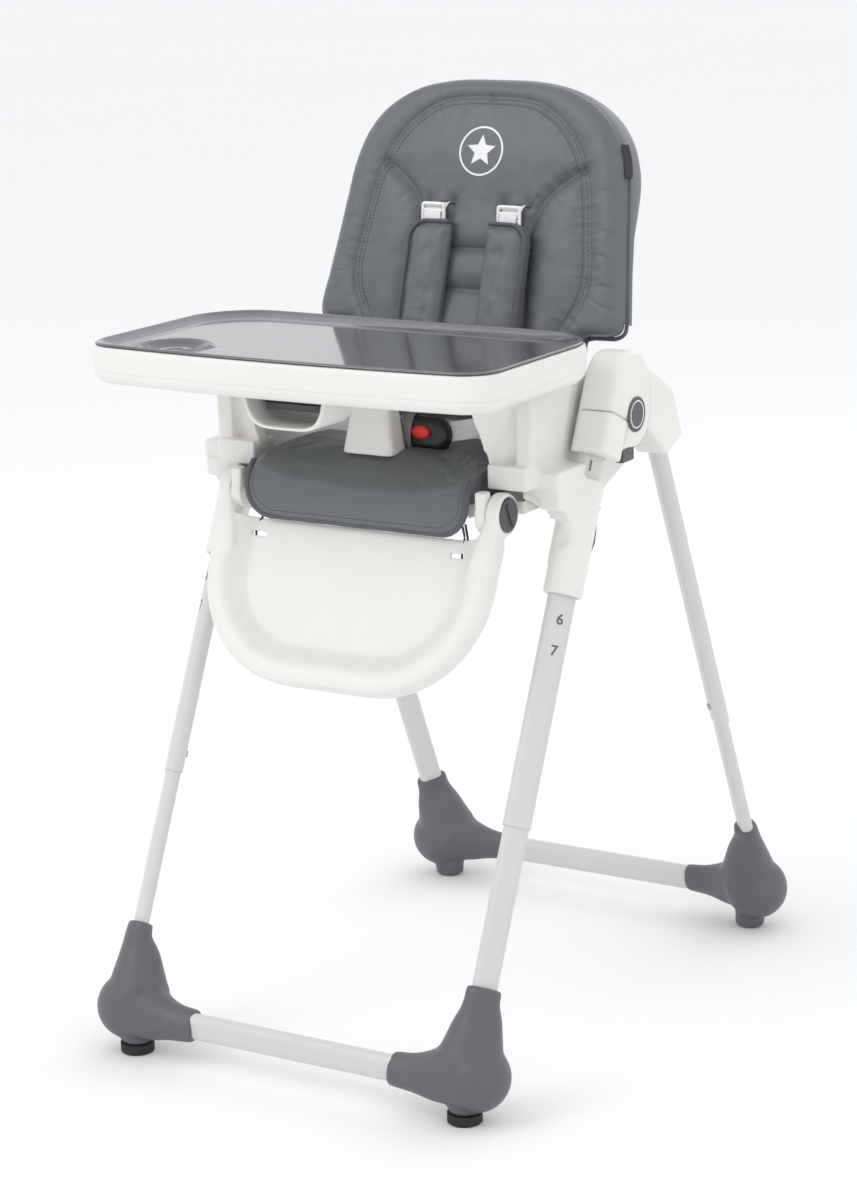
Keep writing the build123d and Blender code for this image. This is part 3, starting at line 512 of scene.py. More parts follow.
def make_back_cushion():
    loop = back_loop()
    cushion = crowned_form("back_cushion_cover", [(x * 0.997, z * 0.997) for x, z in loop],
                           lambda x, z: (0, max(-200, min(40, z))), CUSHION_DEPTH - 3, 2.0, FABRIC)
    cushion.data.transform(BACK)
    remesh(cushion, 0.0042)
    arch = smooth_line(ARCH, 90)
    bolster = smooth_line(BOLSTER, 60)
    seams = [arch, mirrored(arch), bolster, mirrored(bolster)]
    panel = [[(-74, z), (74, z)] for z in PANEL_SEAMS]
    points = local_points(cushion, BACK)
    flat = points[:, [0, 2]]
    front = np.clip((14 - points[:, 1]) / 10, 0, 1)
    held = np.zeros(len(points))
    pull = np.zeros(len(points))
    for line, depth, width in [(s, 3.6, 6.0) for s in seams[:2]] + [(s, 8.0, 8.0) for s in seams[2:]] + \
            [(s, 4.5, 5.0) for s in panel]:
        distance, _ = seam_distance(flat, line)
        pull = np.maximum(pull, depth * np.exp(-(distance / width) ** 2))
        held = np.maximum(held, np.exp(-(distance / 4.0) ** 2))
    for corner in SLOT_CORNERS:
        distance = np.linalg.norm(flat - np.array(corner, float), axis=1)
        pull = np.maximum(pull, 6.0 * np.exp(-(distance / 9.0) ** 2))
        held = np.maximum(held, np.exp(-(distance / 6.0) ** 2))
    points[:, 1] += pull * front
    set_points(cushion, BACK, points)
    behind = np.clip((points[:, 1] - 20) / 4, 0, 1)
    puff(cushion, np.maximum(held * front, behind), 0.008, pressure=5.0)
    subdivide(cushion)
    points = local_points(cushion, BACK)
    flat = points[:, [0, 2]]
    front = np.clip((14 - points[:, 1]) / 10, 0, 1)
    dent = np.zeros(len(points))
    rumple = wrinkles(points, 16.0, 3.7) * 0.5
    for number, line in enumerate(seams[:2]):
        distance, along = seam_distance(flat, line)
        outside = np.abs(distance)
        dent += 1.5 * np.exp(-((outside - 3.2) / 1.3) ** 2)
        tuck = np.array([noise.noise(Vector((a / 7.0, number * 9.1, 0))) for a in along])
        dent += 0.9 * tuck * np.exp(-((distance - 9) / 9) ** 2)
    for number, line in enumerate(seams[2:]):
        distance, along = seam_distance(flat, line)
        dent += 1.8 * np.exp(-(distance / 2.2) ** 2)
        tuck = np.array([noise.noise(Vector((a / 8.0, number * 5.3, 4))) for a in along])
        dent += 1.2 * tuck * np.exp(-((distance - 8) / 8) ** 2)
    for line in panel:
        distance, _ = seam_distance(flat, line)
        dent += 1.6 * np.exp(-(distance / 1.8) ** 2)
    for side in (-1, 1):
        for z, tilt in ((-20, 0.05), (-52, -0.16), (-84, 0.1), (30, 0.2), (-108, -0.3)):
            reach = np.abs(side * flat[:, 0] - 186) / 24
            fold = flat[:, 1] - z - tilt * (side * flat[:, 0] - 186) - 1.5 * np.sin(flat[:, 0] / 6 + z)
            dent += 1.1 * np.exp(-(fold / 2.0) ** 2) * np.exp(-reach ** 2) * (0.4 + 0.6 * (side > 0))
    for cx, cz in SLOT_CORNERS:
        for fan in (-0.5, 0.1, 0.7):
            away = flat[:, 1] - cz
            aside = flat[:, 0] - cx - fan * away
            dent += 1.4 * np.exp(-(aside / 2.2) ** 2) * np.exp(-((away - 9) / 8) ** 2)
    points[:, 1] += (dent + rumple) * front
    set_points(cushion, BACK, points)
    smooth_shading(cushion)
    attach(cushion, "backrest")
    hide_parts("back_cushion")
    skin = Skin(cushion, BACK)
    whole_arch = list(reversed(mirrored(arch[:-18]))) + arch[1:-18]
    for number, inset in enumerate((0.0, 6.0)):
        line = [(x * (1 - inset / 150), z - inset * max(0, min(1, (z + 20) / 60))) for x, z in whole_arch]
        stitches(f"back_cushion_stitches_{number + 1}", skin, line, "backrest")
    edge = smooth_line(WING, 70)[-34:] + smooth_line(FOOT[:3], 16)
    for name, side in SIDES:
        path = [BACK @ (Vector((side * (x * 0.997 + 1.5), CUSHION_DEPTH * 0.62, z - 1.5)) * MM)
                for x, z in edge]
        piping(f"back_cushion_binding_{name}", path, "backrest", 2.6 * MM, BINDING, flat=0.75,
               normal=(BACK.to_3x3() @ Vector((0, 1, 0))))
    make_back_hood()
    return skin


def make_back_hood():
    """The cover carries on over the top of the shell and ends in a gathered hem behind it."""
    half = smooth_line(WING[:13], 70)
    line = list(reversed([(-x, z) for x, z in half[1:]])) + half
    section = ((2.5, 10), (-0.6, 16), (-1.8, 24), (-2.0, 34), (-1.6, 0.78), (0.4, 0.92), (4.0, 0.99),
               (8.5, 1.0), (12.5, 0.97))
    rows = []
    for x, z in line:
        depth = 32 + 28 * smoothstep(-70, 60, z)
        span = math.hypot(x, z + 60)
        gather = 0.7 * math.sin(x / 5 + z / 4)
        row = []
        for number, (inset, reach) in enumerate(section):
            share = 1 - inset / span
            back = reach if reach > 2 else depth * reach
            back = min(back, depth - 0.5) + (gather if number > 5 else 0)
            row.append(BACK @ (Vector((x * share, back, (z + 60) * share - 60)) * MM))
        rows.append(row)
    vertices = [p for row in rows for p in row]
    wide = len(section)
    faces = [(r * wide + k, r * wide + k + 1, (r + 1) * wide + k + 1, (r + 1) * wide + k)
             for r in range(len(rows) - 1) for k in range(wide - 1)]
    hood = new_piece("back_cushion_hood", vertices, faces, FABRIC, "backrest")
    modifier(hood, "SOLIDIFY", thickness=0.0016, offset=-1)
    modifier(hood, "SUBSURF", levels=1, render_levels=1)


def make_slots(skin):
    """Painted shade: dark thread-coloured strips that stand for the shadowed openings of the slots the shoulder
    webbing comes out of.
    """
    for name, side in SIDES:
        path = [skin.place(side * STRAP_X + 17 * k / 6, STRAP_SLIT_Z + 0.8 * math.sin(k), 0.1)[0]
                for k in range(-6, 7)]
        # painted shade: each strip darkens the cloth where the slot opening lies in shadow
        piping(f"strap_slot_shade_{name}", path, "backrest", 1.7 * MM, THREAD, flat=0.5)


def make_print(skin):
    """Plain print on the headrest: a star in a thin ring."""
    middle, ring_out, ring_in, star = (-2.0, 68.0), 30.0, 27.6, 20.0

    def star_radius(angle, points=5, inner=0.46):
        sector = math.pi / points
        phase = (angle % (2 * sector)) / sector
        phase = phase if phase <= 1 else 2 - phase
        a = Vector((1, 0))
        b = Vector((inner * math.cos(sector), inner * math.sin(sector)))
        way = Vector((math.cos(phase * sector), math.sin(phase * sector)))
        return (a.x * b.y - a.y * b.x) / (way.x * (b.y - a.y) - way.y * (b.x - a.x))

    steps = 180
    for name, rows in (("print_ring", (ring_in, (ring_in + ring_out) / 2, ring_out)),
                       ("print_star", tuple(star * k / 6 for k in range(1, 7)))):
        vertices, faces = [], []
        for row in rows:
            for k in range(steps):
                angle = 2 * math.pi * k / steps
                reach = row if name == "print_ring" else row * star_radius(angle)
                point, _ = skin.place(middle[0] + reach * math.sin(angle),
                                      middle[1] + reach * math.cos(angle), 0.25)
                vertices.append(point)
        for r in range(len(rows) - 1):
            for k in range(steps):
                j = (k + 1) % steps
                faces.append((r * steps + k, r * steps + j, (r + 1) * steps + j, (r + 1) * steps + k))
        if name == "print_star":
            point, _ = skin.place(*middle, 0.25)
            vertices.append(point)
            faces += [(k, (k + 1) % steps, len(vertices) - 1) for k in range(steps)]
        new_piece("headrest_" + name, vertices, faces, PRINT, "backrest")


def make_tag():
    """Small folded label sewn into the right-hand edge seam, left blank."""
    edge = ((86, 176), (76, 180), (66, 183.3), (56, 186), (46, 188))
    rows = []
    for k in range(9):
        t = k / 8
        rows.append([BACK @ (Vector((x - 1.5 + 9 * math.sin(math.pi * t),
                                     11 + 7 * t + 1.5 * math.sin(z / 9), z)) * MM) for z, x in edge])
    vertices = [p for row in rows for p in row]
    faces = [(r * 5 + k, r * 5 + k + 1, (r + 1) * 5 + k + 1, (r + 1) * 5 + k)
             for r in range(8) for k in range(4)]
    tag = new_piece("back_cushion_tag", vertices, faces, TAG, "backrest")
    modifier(tag, "SOLIDIFY", thickness=0.0008, offset=0)
    modifier(tag, "SUBSURF", levels=1, render_levels=2)


# ---- shoulder harness ---------------------------------------------------
STRAP_X = 52.0
PAD_HALF = 29.0
PAD_TOP, PAD_BOTTOM = -20.0, -184.0


def pad_loop(side):
    """Outline of a shoulder pad: square inner corners, one round corner at the outer top."""
    outer, inner = side * PAD_HALF, -side * PAD_HALF
    corner = 24.0
    arc = [(outer - side * corner + side * corner * math.sin(a), PAD_TOP - corner + corner * math.cos(a))
           for a in [math.pi / 2 * k / 10 for k in range(11)]]
    low = [(outer, PAD_BOTTOM + 8), (outer - side * 8, PAD_BOTTOM), (inner + side * 6, PAD_BOTTOM),
           (inner, PAD_BOTTOM + 6), (inner, PAD_TOP - 4), (inner + side * 4, PAD_TOP)]
    corners = arc + low
    loop = []
    for a, b in zip(corners, corners[1:] + corners[:1]):
        count = max(1, int(math.dist(a, b) / 4))
        loop += [(a[0] + (b[0] - a[0]) * k / count, a[1] + (b[1] - a[1]) * k / count) for k in range(count)]
    return loop


def make_shoulder_pad(name, side):
    centre = side * STRAP_X
    place = BACK @ Matrix.Translation(Vector((centre, -19.0, 0)) * MM)
    pad = crowned_form(f"shoulder_pad_{name}", [(x * 0.95, z * 0.985 - 1) for x, z in pad_loop(side)],
                       lambda x, z: (0, max(-168, min(-42, z))), 15.5, 1.5, FABRIC, rows=7)
    pad.data.transform(place)
    remesh(pad, 0.003)
    points = local_points(pad, place)
    held = np.clip((points[:, 1] - 11) / 3, 0, 1)
    edge = np.abs(side * points[:, 0] - PAD_HALF)
    held = np.maximum(held, np.exp(-(edge / 3) ** 2))
    puff(pad, held, 0.004, pressure=5.0)
    subdivide(pad)
    points = local_points(pad, place)
    front = np.clip((9 - points[:, 1]) / 8, 0, 1)
    dent = wrinkles(points, 22.0, 8.0 + side) * 1.3 + wrinkles(points, 9.0, 2.0 + side) * 0.35
    pinch = np.exp(-((points[:, 0] + side * 4) / 7) ** 2) * np.exp(-((points[:, 2] + 55) / 9) ** 2)
    fold = np.exp(-((points[:, 0] + side * 12 + 3 * np.sin(points[:, 2] / 30)) / 5) ** 2)
    edge = np.abs(side * points[:, 0] - (PAD_HALF - 7.5))
    top = np.abs(points[:, 2] - (PAD_TOP - 7.5))
    sewn = np.exp(-(edge / 1.5) ** 2) + np.exp(-(top / 1.5) ** 2)
    points[:, 1] += (dent + 2.6 * pinch + 0.7 * fold + 1.2 * np.clip(sewn, 0, 1)) * front
    set_points(pad, place, points)
    smooth_shading(pad)
    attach(pad, "backrest")
    if side < 0:
        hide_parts("shoulder_pads")
    skin = Skin(pad, place)
    run = [p for p in pad_loop(side) if side * p[0] > -PAD_HALF + 3 and p[1] > PAD_BOTTOM + 12]
    top_run = sorted((p for p in run if p[1] > PAD_TOP - 2), key=lambda p: side * p[0])
    side_run = sorted((p for p in run if p[1] <= PAD_TOP - 2 and side * p[0] > 4), key=lambda p: -p[1])
    route = smooth_line([(x, z) for x, z in top_run + side_run], 90)
    path = [place @ (Vector((x * 0.955, 7.0, z * 0.995 - 0.2)) * MM) for x, z in route]
    rings = []
    for i, point in enumerate(path):
        ahead = (path[min(i + 1, len(path) - 1)] - path[max(i - 1, 0)]).normalized()
        behind = (place.to_3x3() @ Vector((0, 1, 0))).normalized()
        outward = ahead.cross(behind) * side * -1
        ring = []
        for k in range(14):
            a = 2 * math.pi * k / 14
            ring.append(point + behind * 7.6 * MM * math.sin(a) + outward * 3.4 * MM * math.cos(a))
        rings.append(ring)
    vertices, faces = loft(rings)
    new_piece(f"shoulder_pad_binding_{name}", vertices, faces, BINDING, "backrest")
    inner = [(x - side * 6.2 if abs(x) > 8 else x, z - 6.0 if z > PAD_TOP - 3 else z) for x, z in route[4:]]
    stitches(f"shoulder_pad_stitches_{name}", skin, inner, "backrest", length=2.6, gap=1.4)
    return pad


def webbing(name, path, normals, width, thickness, material, body, ribs=0):
    """Flat strap along a path: rounded edges and woven ribs across it."""
    rings = []
    for i, point in enumerate(path):
        ahead = (path[min(i + 1, len(path) - 1)] - path[max(i - 1, 0)]).normalized()
        face = normals[i] if isinstance(normals, list) else normals
        across = ahead.cross(face).normalized()
        face = across.cross(ahead).normalized()
        swell = 1.0 + (0.12 if ribs and i % 2 else 0.0)
        ring = []
        for k in range(22):
            a = 2 * math.pi * k / 22
            wide = math.copysign(abs(math.cos(a)) ** 0.35, math.cos(a))
            high = math.copysign(abs(math.sin(a)) ** 0.6, math.sin(a)) * swell
            ring.append(point + across * wide * width / 2 * MM + face * high * thickness / 2 * MM)
        rings.append(ring)
    vertices, faces = loft(rings)
    return new_piece(name, vertices, faces, material, body)


def back_route(controls, count):
    """World points and outward normals of a route given as (across, depth, up) on the back."""
    path = [BACK @ (p * MM) for p in curve_points([Vector(c) for c in controls], count)]
    behind = (BACK.to_3x3() @ Vector((0, 1, 0))).normalized()
    return path, behind * -1


def make_shoulder_straps():
    for name, side in SIDES:
        x = side * STRAP_X
        path, face = back_route(((x, 18, 8), (x, 9, 7.5), (x, 1, 5.5), (x, -6, -2), (x, -11.5, -14),
                                 (x, -12, -44)), 38)
        strap = webbing(f"shoulder_webbing_{name}", path, face, 24, 1.8, WEB_WHITE, "backrest",
                        ribs=1)
        path, face = back_route(((x + side * 0.8, -9.5, 1), (x + side * 0.8, -14, -6), (x, -16.2, -13),
                                 (x, -15, -22), (x, -13.6, -34)), 30)
        webbing(f"shoulder_webbing_loop_{name}", path, face, 23, 1.5, WEB_WHITE, "backrest",
                ribs=1)
        if side < 0:
            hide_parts("shoulder_straps")
        make_adjuster(name, side)


def rounded_box_rings(half, corner, levels):
    """Rings of a rounded rectangle; levels are (grow, depth) pairs."""
    rings = []
    for grow, depth in levels:
        ring = []
        for quarter in range(4):
            a0 = math.pi / 2 * quarter
            cx = (half[0] - corner) * (1 if quarter in (0, 3) else -1)
            cz = (half[1] - corner) * (1 if quarter in (0, 1) else -1)
            for k in range(7):
                a = a0 + math.pi / 2 * k / 6
                ring.append((cx + (corner + grow) * math.cos(a), depth, cz + (corner + grow) * math.sin(a)))
        rings.append(ring)
    return rings


def make_adjuster(name, side):
    """Ladder-lock slider: an open frame with two cross bars."""
    place = BACK @ Matrix.Translation(Vector((side * STRAP_X, -13.5, -10.5)) * MM)
    place = place @ Matrix.Rotation(math.radians(14), 4, "X")
    vertices, faces = [], []

    def add(rings, closed=(False, False), wrap=False):
        rings = rings + [rings[0]] if wrap else rings
        add_mesh(vertices, faces, *loft(rings, closed))

    add(rounded_box_rings((16, 13), 4, ((0, 1.6), (0.6, 0), (0, -1.6), (-1.2, -2.2), (-2.8, -2.2),
                                        (-3.4, -1.2), (-3.4, 1.4), (-2.6, 2.2), (-1.0, 2.2))), wrap=True)
    for up, thick in ((-4.5, 1.8), (3.5, 2.2), (9.5, 1.2)):
        bar = []
        for k in range(9):
            x = -13.5 + 27 * k / 8
            bar.append([(x, thick * math.cos(a) * 0.8, up + thick * math.sin(a))
                        for a in turns(12)])
        add(bar, closed=(True, True))
    piece = new_piece(f"strap_adjuster_{name}", [place @ (Vector(v) * MM) for v in vertices], faces,
                      GLOSS_WHITE, "backrest")
    if side < 0:
        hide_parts("strap_adjusters")
    return piece


# ---- seat cushion and its flap ------------------------------------------
SEAT_HALF = 152.0
FLAP_CORNER = 34.0
FLAP_LOW = 627.0
SEAT_PROFILE = ((352, 666), (353, 690), (346, 699), (318, 702), (280, 704), (235, 704), (200, 702.5),
                (181, 699),
                (168, 690), (160.5, 676), (157, 662), (155.5, 648), (155.5, 636), (157.5, 629), (160.5, 627),
                (163, 630), (164.2, 640), (165, 650), (171, 658), (188, 664), (260, 664))


def make_seat_cover():
    """Seat pad that rolls over the front edge and hangs as a flap over the calf rest."""
    profile = smooth_line(SEAT_PROFILE, 110)
    stations = [-1 + 2 * k / 60 for k in range(61)]
    rings = []
    for u in stations:
        x = math.sin(u * math.pi / 2) * (SEAT_HALF - 5)
        edge = smoothstep(SEAT_HALF - 18, SEAT_HALF - 5, abs(x))
        corner = max(0.0, abs(x) - (SEAT_HALF - FLAP_CORNER))
        rise = FLAP_CORNER - math.sqrt(max(0.0, FLAP_CORNER ** 2 - corner ** 2))
        ring = []
        for y, z in profile:
            if z < 662 and y < 176:
                low = FLAP_LOW + rise
                z = low + (z - FLAP_LOW) * (662 - low) / (662 - FLAP_LOW)
                y = 160 + (y - 160) * (1 - 0.55 * edge)
            elif z > 670:
                z = 670 + (z - 670) * (1 - 0.28 * edge)
                y = y + (2.2 * edge if y < 176 else 0)
            ring.append(at(x, y, z + (1.5 - 1.5 * (x / SEAT_HALF) ** 2 if z > 690 else 0)))
        rings.append(ring)
    vertices, faces = loft(rings)
    cover = new_piece("seat_cover", vertices, faces, FABRIC, None)
    remesh(cover, 0.0036)
    seat = leaning_frame(at(0, 0, 0), 0)
    points = local_points(cover, seat)
    inner = np.abs(points[:, 0])
    side_seam = np.exp(-((inner - (SEAT_HALF - 6)) / 5) ** 2)
    held = np.maximum(side_seam, np.clip((668 - points[:, 2]) / 4, 0, 1) * (points[:, 1] > 163))
    held = np.maximum(held, np.clip((FLAP_LOW + 8 - points[:, 2]) / 4, 0, 1))
    puff(cover, held, 0.004, pressure=4.0)
    subdivide(cover)
    points = local_points(cover, seat)
    inner = np.abs(points[:, 0])
    shown = ((points[:, 1] < 161) | (points[:, 2] > 690)).astype(float)
    rumple = wrinkles(points, 38.0, 1.3) * 1.6 + wrinkles(points, 13.0, 5.1) * 0.35
    front = (points[:, 1] < 168) & (points[:, 2] > FLAP_LOW + 6)
    points[:, 1] += np.where(front, rumple * 0.7, 0)
    points[:, 2] += np.where(points[:, 2] > 690, rumple, 0)
    crease = np.exp(-((points[:, 2] - 697 + 2.5 * np.sin(points[:, 0] / 45)) / 2.0) ** 2)
    points[:, 1] += 1.1 * crease * (points[:, 1] < 185) * shown
    for side in (-1, 1):
        for start, tilt in ((118, 0.9), (104, 1.4), (126, 0.5)):
            fold = side * points[:, 0] - start + (points[:, 1] - 200) * tilt * 0.25
            points[:, 2] -= 1.0 * np.exp(-(fold / 2.6) ** 2) * np.exp(-((points[:, 1] - 200) / 38) ** 2) * \
                (points[:, 2] > 690)
    set_points(cover, seat, points)
    smooth_shading(cover)
    skin = Skin(cover, seat)
    side_x = SEAT_HALF - 6
    half = [(side_x, z) for z in (690, 684, 675, 667)]
    arc = [(side_x - FLAP_CORNER * (1 - math.cos(a)), FLAP_LOW + 2 + FLAP_CORNER * (1 - math.sin(a)))
           for a in [math.pi / 2 * k / 9 for k in range(10)]]
    bottom = [(80, FLAP_LOW + 1.6), (40, FLAP_LOW + 2.2), (0, FLAP_LOW + 1.7)]
    run = half + arc[1:] + bottom
    edge = smooth_line(run + [(-x, z) for x, z in reversed(run[:-1])], 260)
    path = []
    for x, z in edge:
        hit, _ = skin.place(x * 0.965, z, 0, depth=60.0)
        path.append(Vector((x * MM, hit.y + 2.0 * MM, hit.z if z < 660 else z * MM)))
    rings = []
    toward = Vector((0, 1, 0))
    for i, point in enumerate(path):
        ahead = (path[min(i + 1, len(path) - 1)] - path[max(i - 1, 0)]).normalized()
        outward = ahead.cross(toward).normalized()
        pinch = 1 + 0.10 * noise.noise(Vector((i / 6.0, 0, 2)))
        ring = []
        for k in range(14):
            a = 2 * math.pi * k / 14
            wide = math.copysign(abs(math.cos(a)) ** 0.7, math.cos(a))
            ring.append(point + outward * 3.6 * MM * wide * pinch - outward * -1.6 * MM
                        + toward * 3.0 * MM * math.sin(a))
        rings.append(ring)
    vertices, faces = loft(rings)
    binding = new_piece("seat_flap_binding", vertices, faces, BINDING, None)
    inset = smooth_line([(x * 0.955, z + 6.5 * smoothstep(662, 634, z)) for x, z in edge[::9]], 240)
    thread = stitches("seat_flap_stitches", SkinOffset(skin), inset, None, length=3.4, gap=1.8)
    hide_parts("seat_cushion", "seat_flap")
    for piece in (cover, binding, thread):
        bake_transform(piece)


class SkinOffset:
    """A skin in the chair's own frame, looked at from the front."""

    def __init__(self, skin):
        self.skin = skin

    def place(self, across, up, lift):
        return self.skin.place(across, up, lift, depth=60.0)


# ---- buckle and waist webbing -------------------------------------------
BUCKLE = mid("buckle_body")


def make_buckle():
    """Five-point buckle lying on the seat: a rounded black housing with a red oval button."""
    def outline(grow, count=72):
        points = []
        for k in range(count):
            a = 2 * math.pi * k / count
            stretch = 14.0
            x = (20 + grow) * math.cos(a) + math.copysign(stretch, math.cos(a)) * min(1, abs(math.cos(a)) * 4)
            z = (20 + grow) * math.sin(a) * (1.08 if math.sin(a) < 0 else 1.0)
            points.append((x, z))
        return points
    y0 = -9.0
    rings = []
    for depth, grow in ((0.6, -19.5), (0.2, -14), (0, -9), (0.8, -5), (2.6, -2), (5.5, 0), (10, 0.6), (14, 0),
                        (17, -2), (18, -6), (18, -14), (18, -19.5)):
        rings.append([BUCKLE + Vector((x, y0 + depth, z)) * MM for x, z in outline(grow)])
    vertices, faces = loft(rings)
    body = new_piece("buckle_housing", vertices, faces, BLACK, "seat")
    modifier(body, "SUBSURF", levels=1, render_levels=2)
    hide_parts("buckle_body")
    centre = mid("buckle_button")
    front_y = low("buckle_button").y
    rings = []
    for depth, share in ((-0.6, 0.05), (-0.55, 0.4), (-0.2, 0.75), (0.5, 0.93), (1.6, 1.0), (6.0, 1.0),
                         (6.0, 0.05)):
        rings.append([Vector((centre.x + 12 * MM * share * math.cos(a), front_y - 1.6 * MM + depth * MM,
                              centre.z + 8 * MM * share * math.sin(a)))
                      for a in turns(48)])
    vertices, faces = loft(rings)
    button = new_piece("buckle_push_button", vertices, faces, RED, "buckle_button")
    modifier(button, "SUBSURF", levels=1, render_levels=2)
    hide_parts("buckle_button")
    x, y, z = BUCKLE.x / MM, (BUCKLE.y - FRONT_PADS_Y) / MM, BUCKLE.z / MM

    def strap(name, controls, faces_at, width, material, slot, thickness=1.8, count=60):
        path = [at(*p) for p in curve_points([Vector(c) for c in controls], count)]
        marks = curve_points([Vector(f) for f in faces_at], count)
        return webbing(name, path, [m.normalized() for m in marks], width, thickness, material, "seat",
                       ribs=1)

    loop = strap("crotch_webbing", ((0, 245, 664), (0, 245, 690), (1, 245, 704), (6, 243, 716), (14, 238,
                                                                                                 724),
                                    (22, 227.5, 729), (31, 225.2, 729), (35, 226, 728)),
                 ((0, -1, 0), (0, -1, 0), (-0.1, -1, 0), (-0.6, -1, 0.3), (-0.7, -1, 0.2), (-0.2, -1, 0),
                  (0, -1, 0), (0.1, -1, 0)), 25, WEB_GREY, "webbing_grey")
    rings = []
    for a in turns(40):
        rings.append([])
        for wide, out in ((-7, 0.0), (-7, 1.8), (0, 2.3), (7, 1.8), (7, 0.0)):
            radius_y, radius_z = 10.4 + out, 22.6 + out
            rings[-1].append(at(x - 19 + wide + 2.0 * math.sin(a), y + radius_y * math.cos(a),
                                z - 0.5 + radius_z * math.sin(a)))
    vertices, faces = loft(rings + [rings[0]], (False, False))
    band = new_piece("buckle_webbing_loop", vertices, faces, WEB_GREY, "seat")
    modifier(band, "SUBSURF", levels=1, render_levels=2)
    strap("waist_webbing_right", ((x + 30, y + 6, z + 3), (x + 42, y + 9, z + 5), (x + 60, y + 13, z + 8),
                                          (122, y + 16, z + 6), (134, y + 30, z + 4), (135.5, 300, z + 1),
                                          (135.5, 350, z + 1)),
                  ((0, -1, 0.15), (0, -1, 0.3), (0, -1, 0.2), (-0.3, -1, 0), (-1, -0.4, 0), (-1, 0, 0),
                   (-1, 0, 0)),
                  23, WEB_WHITE, "webbing_white")
    strap("waist_webbing_left", ((x - 36, y + 12, z + 1), (x - 60, y + 14, z + 1), (-60, y + 15, z + 2),
                                        (-118, y + 16, z + 2), (-134, y + 32, z + 1), (-135.5, 300, z + 1),
                                        (-135.5, 350, z + 1)),
                 ((0, -1, 0.1), (0, -1, 0.1), (0, -1, 0.1), (0.3, -1, 0), (1, -0.4, 0), (1, 0, 0), (1, 0, 0)),
                 23, WEB_WHITE, "webbing_white")
    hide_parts("harness_webbing")


# ---- tray ---------------------------------------------------------------
TRAY_REAR, TRAY_FRONT, TRAY_BOW = 294.0, 6.0, 14.0
TRAY_REAR_HALF, TRAY_FRONT_HALF = 264.0, 265.0
REAR_CORNER, FRONT_CORNER = 83.0, 44.0
TRAY_TOP, TRAY_UNDER = 842.0, 798.0
ARM_TOP = 790.0
CUP = (-175.0, 62.0)
CUP_RADIUS = 38.0


def tray_loop(inset, count=240):
    """Outline of the tray seen from above, drawn in by inset, from the middle of the front edge."""
    def arc(cx, cy, radius, start, stop, n):
        return [(cx + (radius - inset) * math.cos(math.radians(start + (stop - start) * k / n)),
                 cy + (radius - inset) * math.sin(math.radians(start + (stop - start) * k / n)))
                for k in range(n + 1)]
    def bow(x):
        return TRAY_FRONT - TRAY_BOW * (1 - (x / TRAY_FRONT_HALF) ** 2)

    fx = TRAY_FRONT_HALF - FRONT_CORNER
    front_y = bow(fx) + FRONT_CORNER
    front = [(fx * k / 24, bow(fx * k / 24) + inset) for k in range(24)]
    corner = arc(fx, front_y, FRONT_CORNER, -83, 0, 22)
    rear_x = TRAY_REAR_HALF - REAR_CORNER
    rear = arc(rear_x, TRAY_REAR - REAR_CORNER, REAR_CORNER, 0, 90, 24)
    half = front + corner + rear + [(rear_x * (1 - k / 20), TRAY_REAR - inset) for k in range(1, 21)]
    loop = half + [(-x, y) for x, y in reversed(half[1:-1])]
    return even_loop(loop, count)


def even_loop(loop, count):
    """The same closed outline with evenly spaced points."""
    closed = loop + [loop[0]]
    total = [0.0]
    for a, b in zip(closed, closed[1:]):
        total.append(total[-1] + math.dist(a, b))
    result, k = [], 0
    for n in range(count):
        want = total[-1] * n / count
        while total[k + 1] < want:
            k += 1
        t = (want - total[k]) / max(1e-9, total[k + 1] - total[k])
        result.append((closed[k][0] + (closed[k + 1][0] - closed[k][0]) * t,
                       closed[k][1] + (closed[k + 1][1] - closed[k][1]) * t))
    return result


def tray_rings(levels):
    return [[at(x, y, z) for x, y in tray_loop(inset)] for inset, z in levels]


def make_tray():
    top, under = TRAY_TOP, TRAY_UNDER
    levels = [(60, top - 15), (12, top - 15), (9.6, top - 14.4), (9.0, top - 12), (8.6, top - 1.2),
              (7.6, top - 0.3), (6.4, top), (4.6, top - 0.1), (2.4, top - 1.0), (0.9, top - 3), (0.3,
                                                                                                 top - 6), (0, top - 12),
              (0, top - 20), (0.1, top - 26), (0.2, top - 27.4), (0.9, top - 28.2), (0.9, top - 29.0),
              (0.35, top - 29.8), (0.8, top - 32), (2.2, top - 35.5), (4.8, top - 39), (8.6, top - 42),
              (13.5, top - 43.6), (19, under), (21.4, under + 0.3), (22, under + 1.6), (22, top - 22),
              (23.5, top - 20.5), (60, top - 20)]
    vertices, faces = loft(tray_rings(levels))
    tray = new_piece("tray_shell", vertices, faces, WHITE, "tray")
    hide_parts("tray_body")
    for name, side in SIDES:
        rounded_prism(f"tray_runner_{name}", side * 153, 3, 175, 65, ARM_TOP - 10, 824, 1.5, WHITE,
                      "tray")
    make_pocket()
    make_liner()


def rounded_prism(name, x, half_x, y, half_y, low_z, high_z, corner, material, body):
    rings = []
    for grow, z in ((-corner, low_z), (-corner * 0.3, low_z + corner * 0.3), (0, low_z + corner),
                    (0, high_z - corner), (-corner, high_z)):
        ring = []
        for quarter in range(4):
            sx, sy = (1 if quarter in (0, 3) else -1), (1 if quarter in (0, 1) else -1)
            for k in range(5):
                a = math.pi / 2 * (quarter + k / 4)
                ring.append(at(x + sx * (half_x - corner) + (corner + grow) * math.cos(a),
                               y + sy * (half_y - corner) + (corner + grow) * math.sin(a), z))
        rings.append(ring)
    vertices, faces = loft(rings)
    return new_piece(name, vertices, faces, material, body)


POCKET_SECTION = ((56, 822), (55, 808), (53, 794), (49.5, 780), (43, 770), (34, 764.5), (22, 762.4), (0, 762))


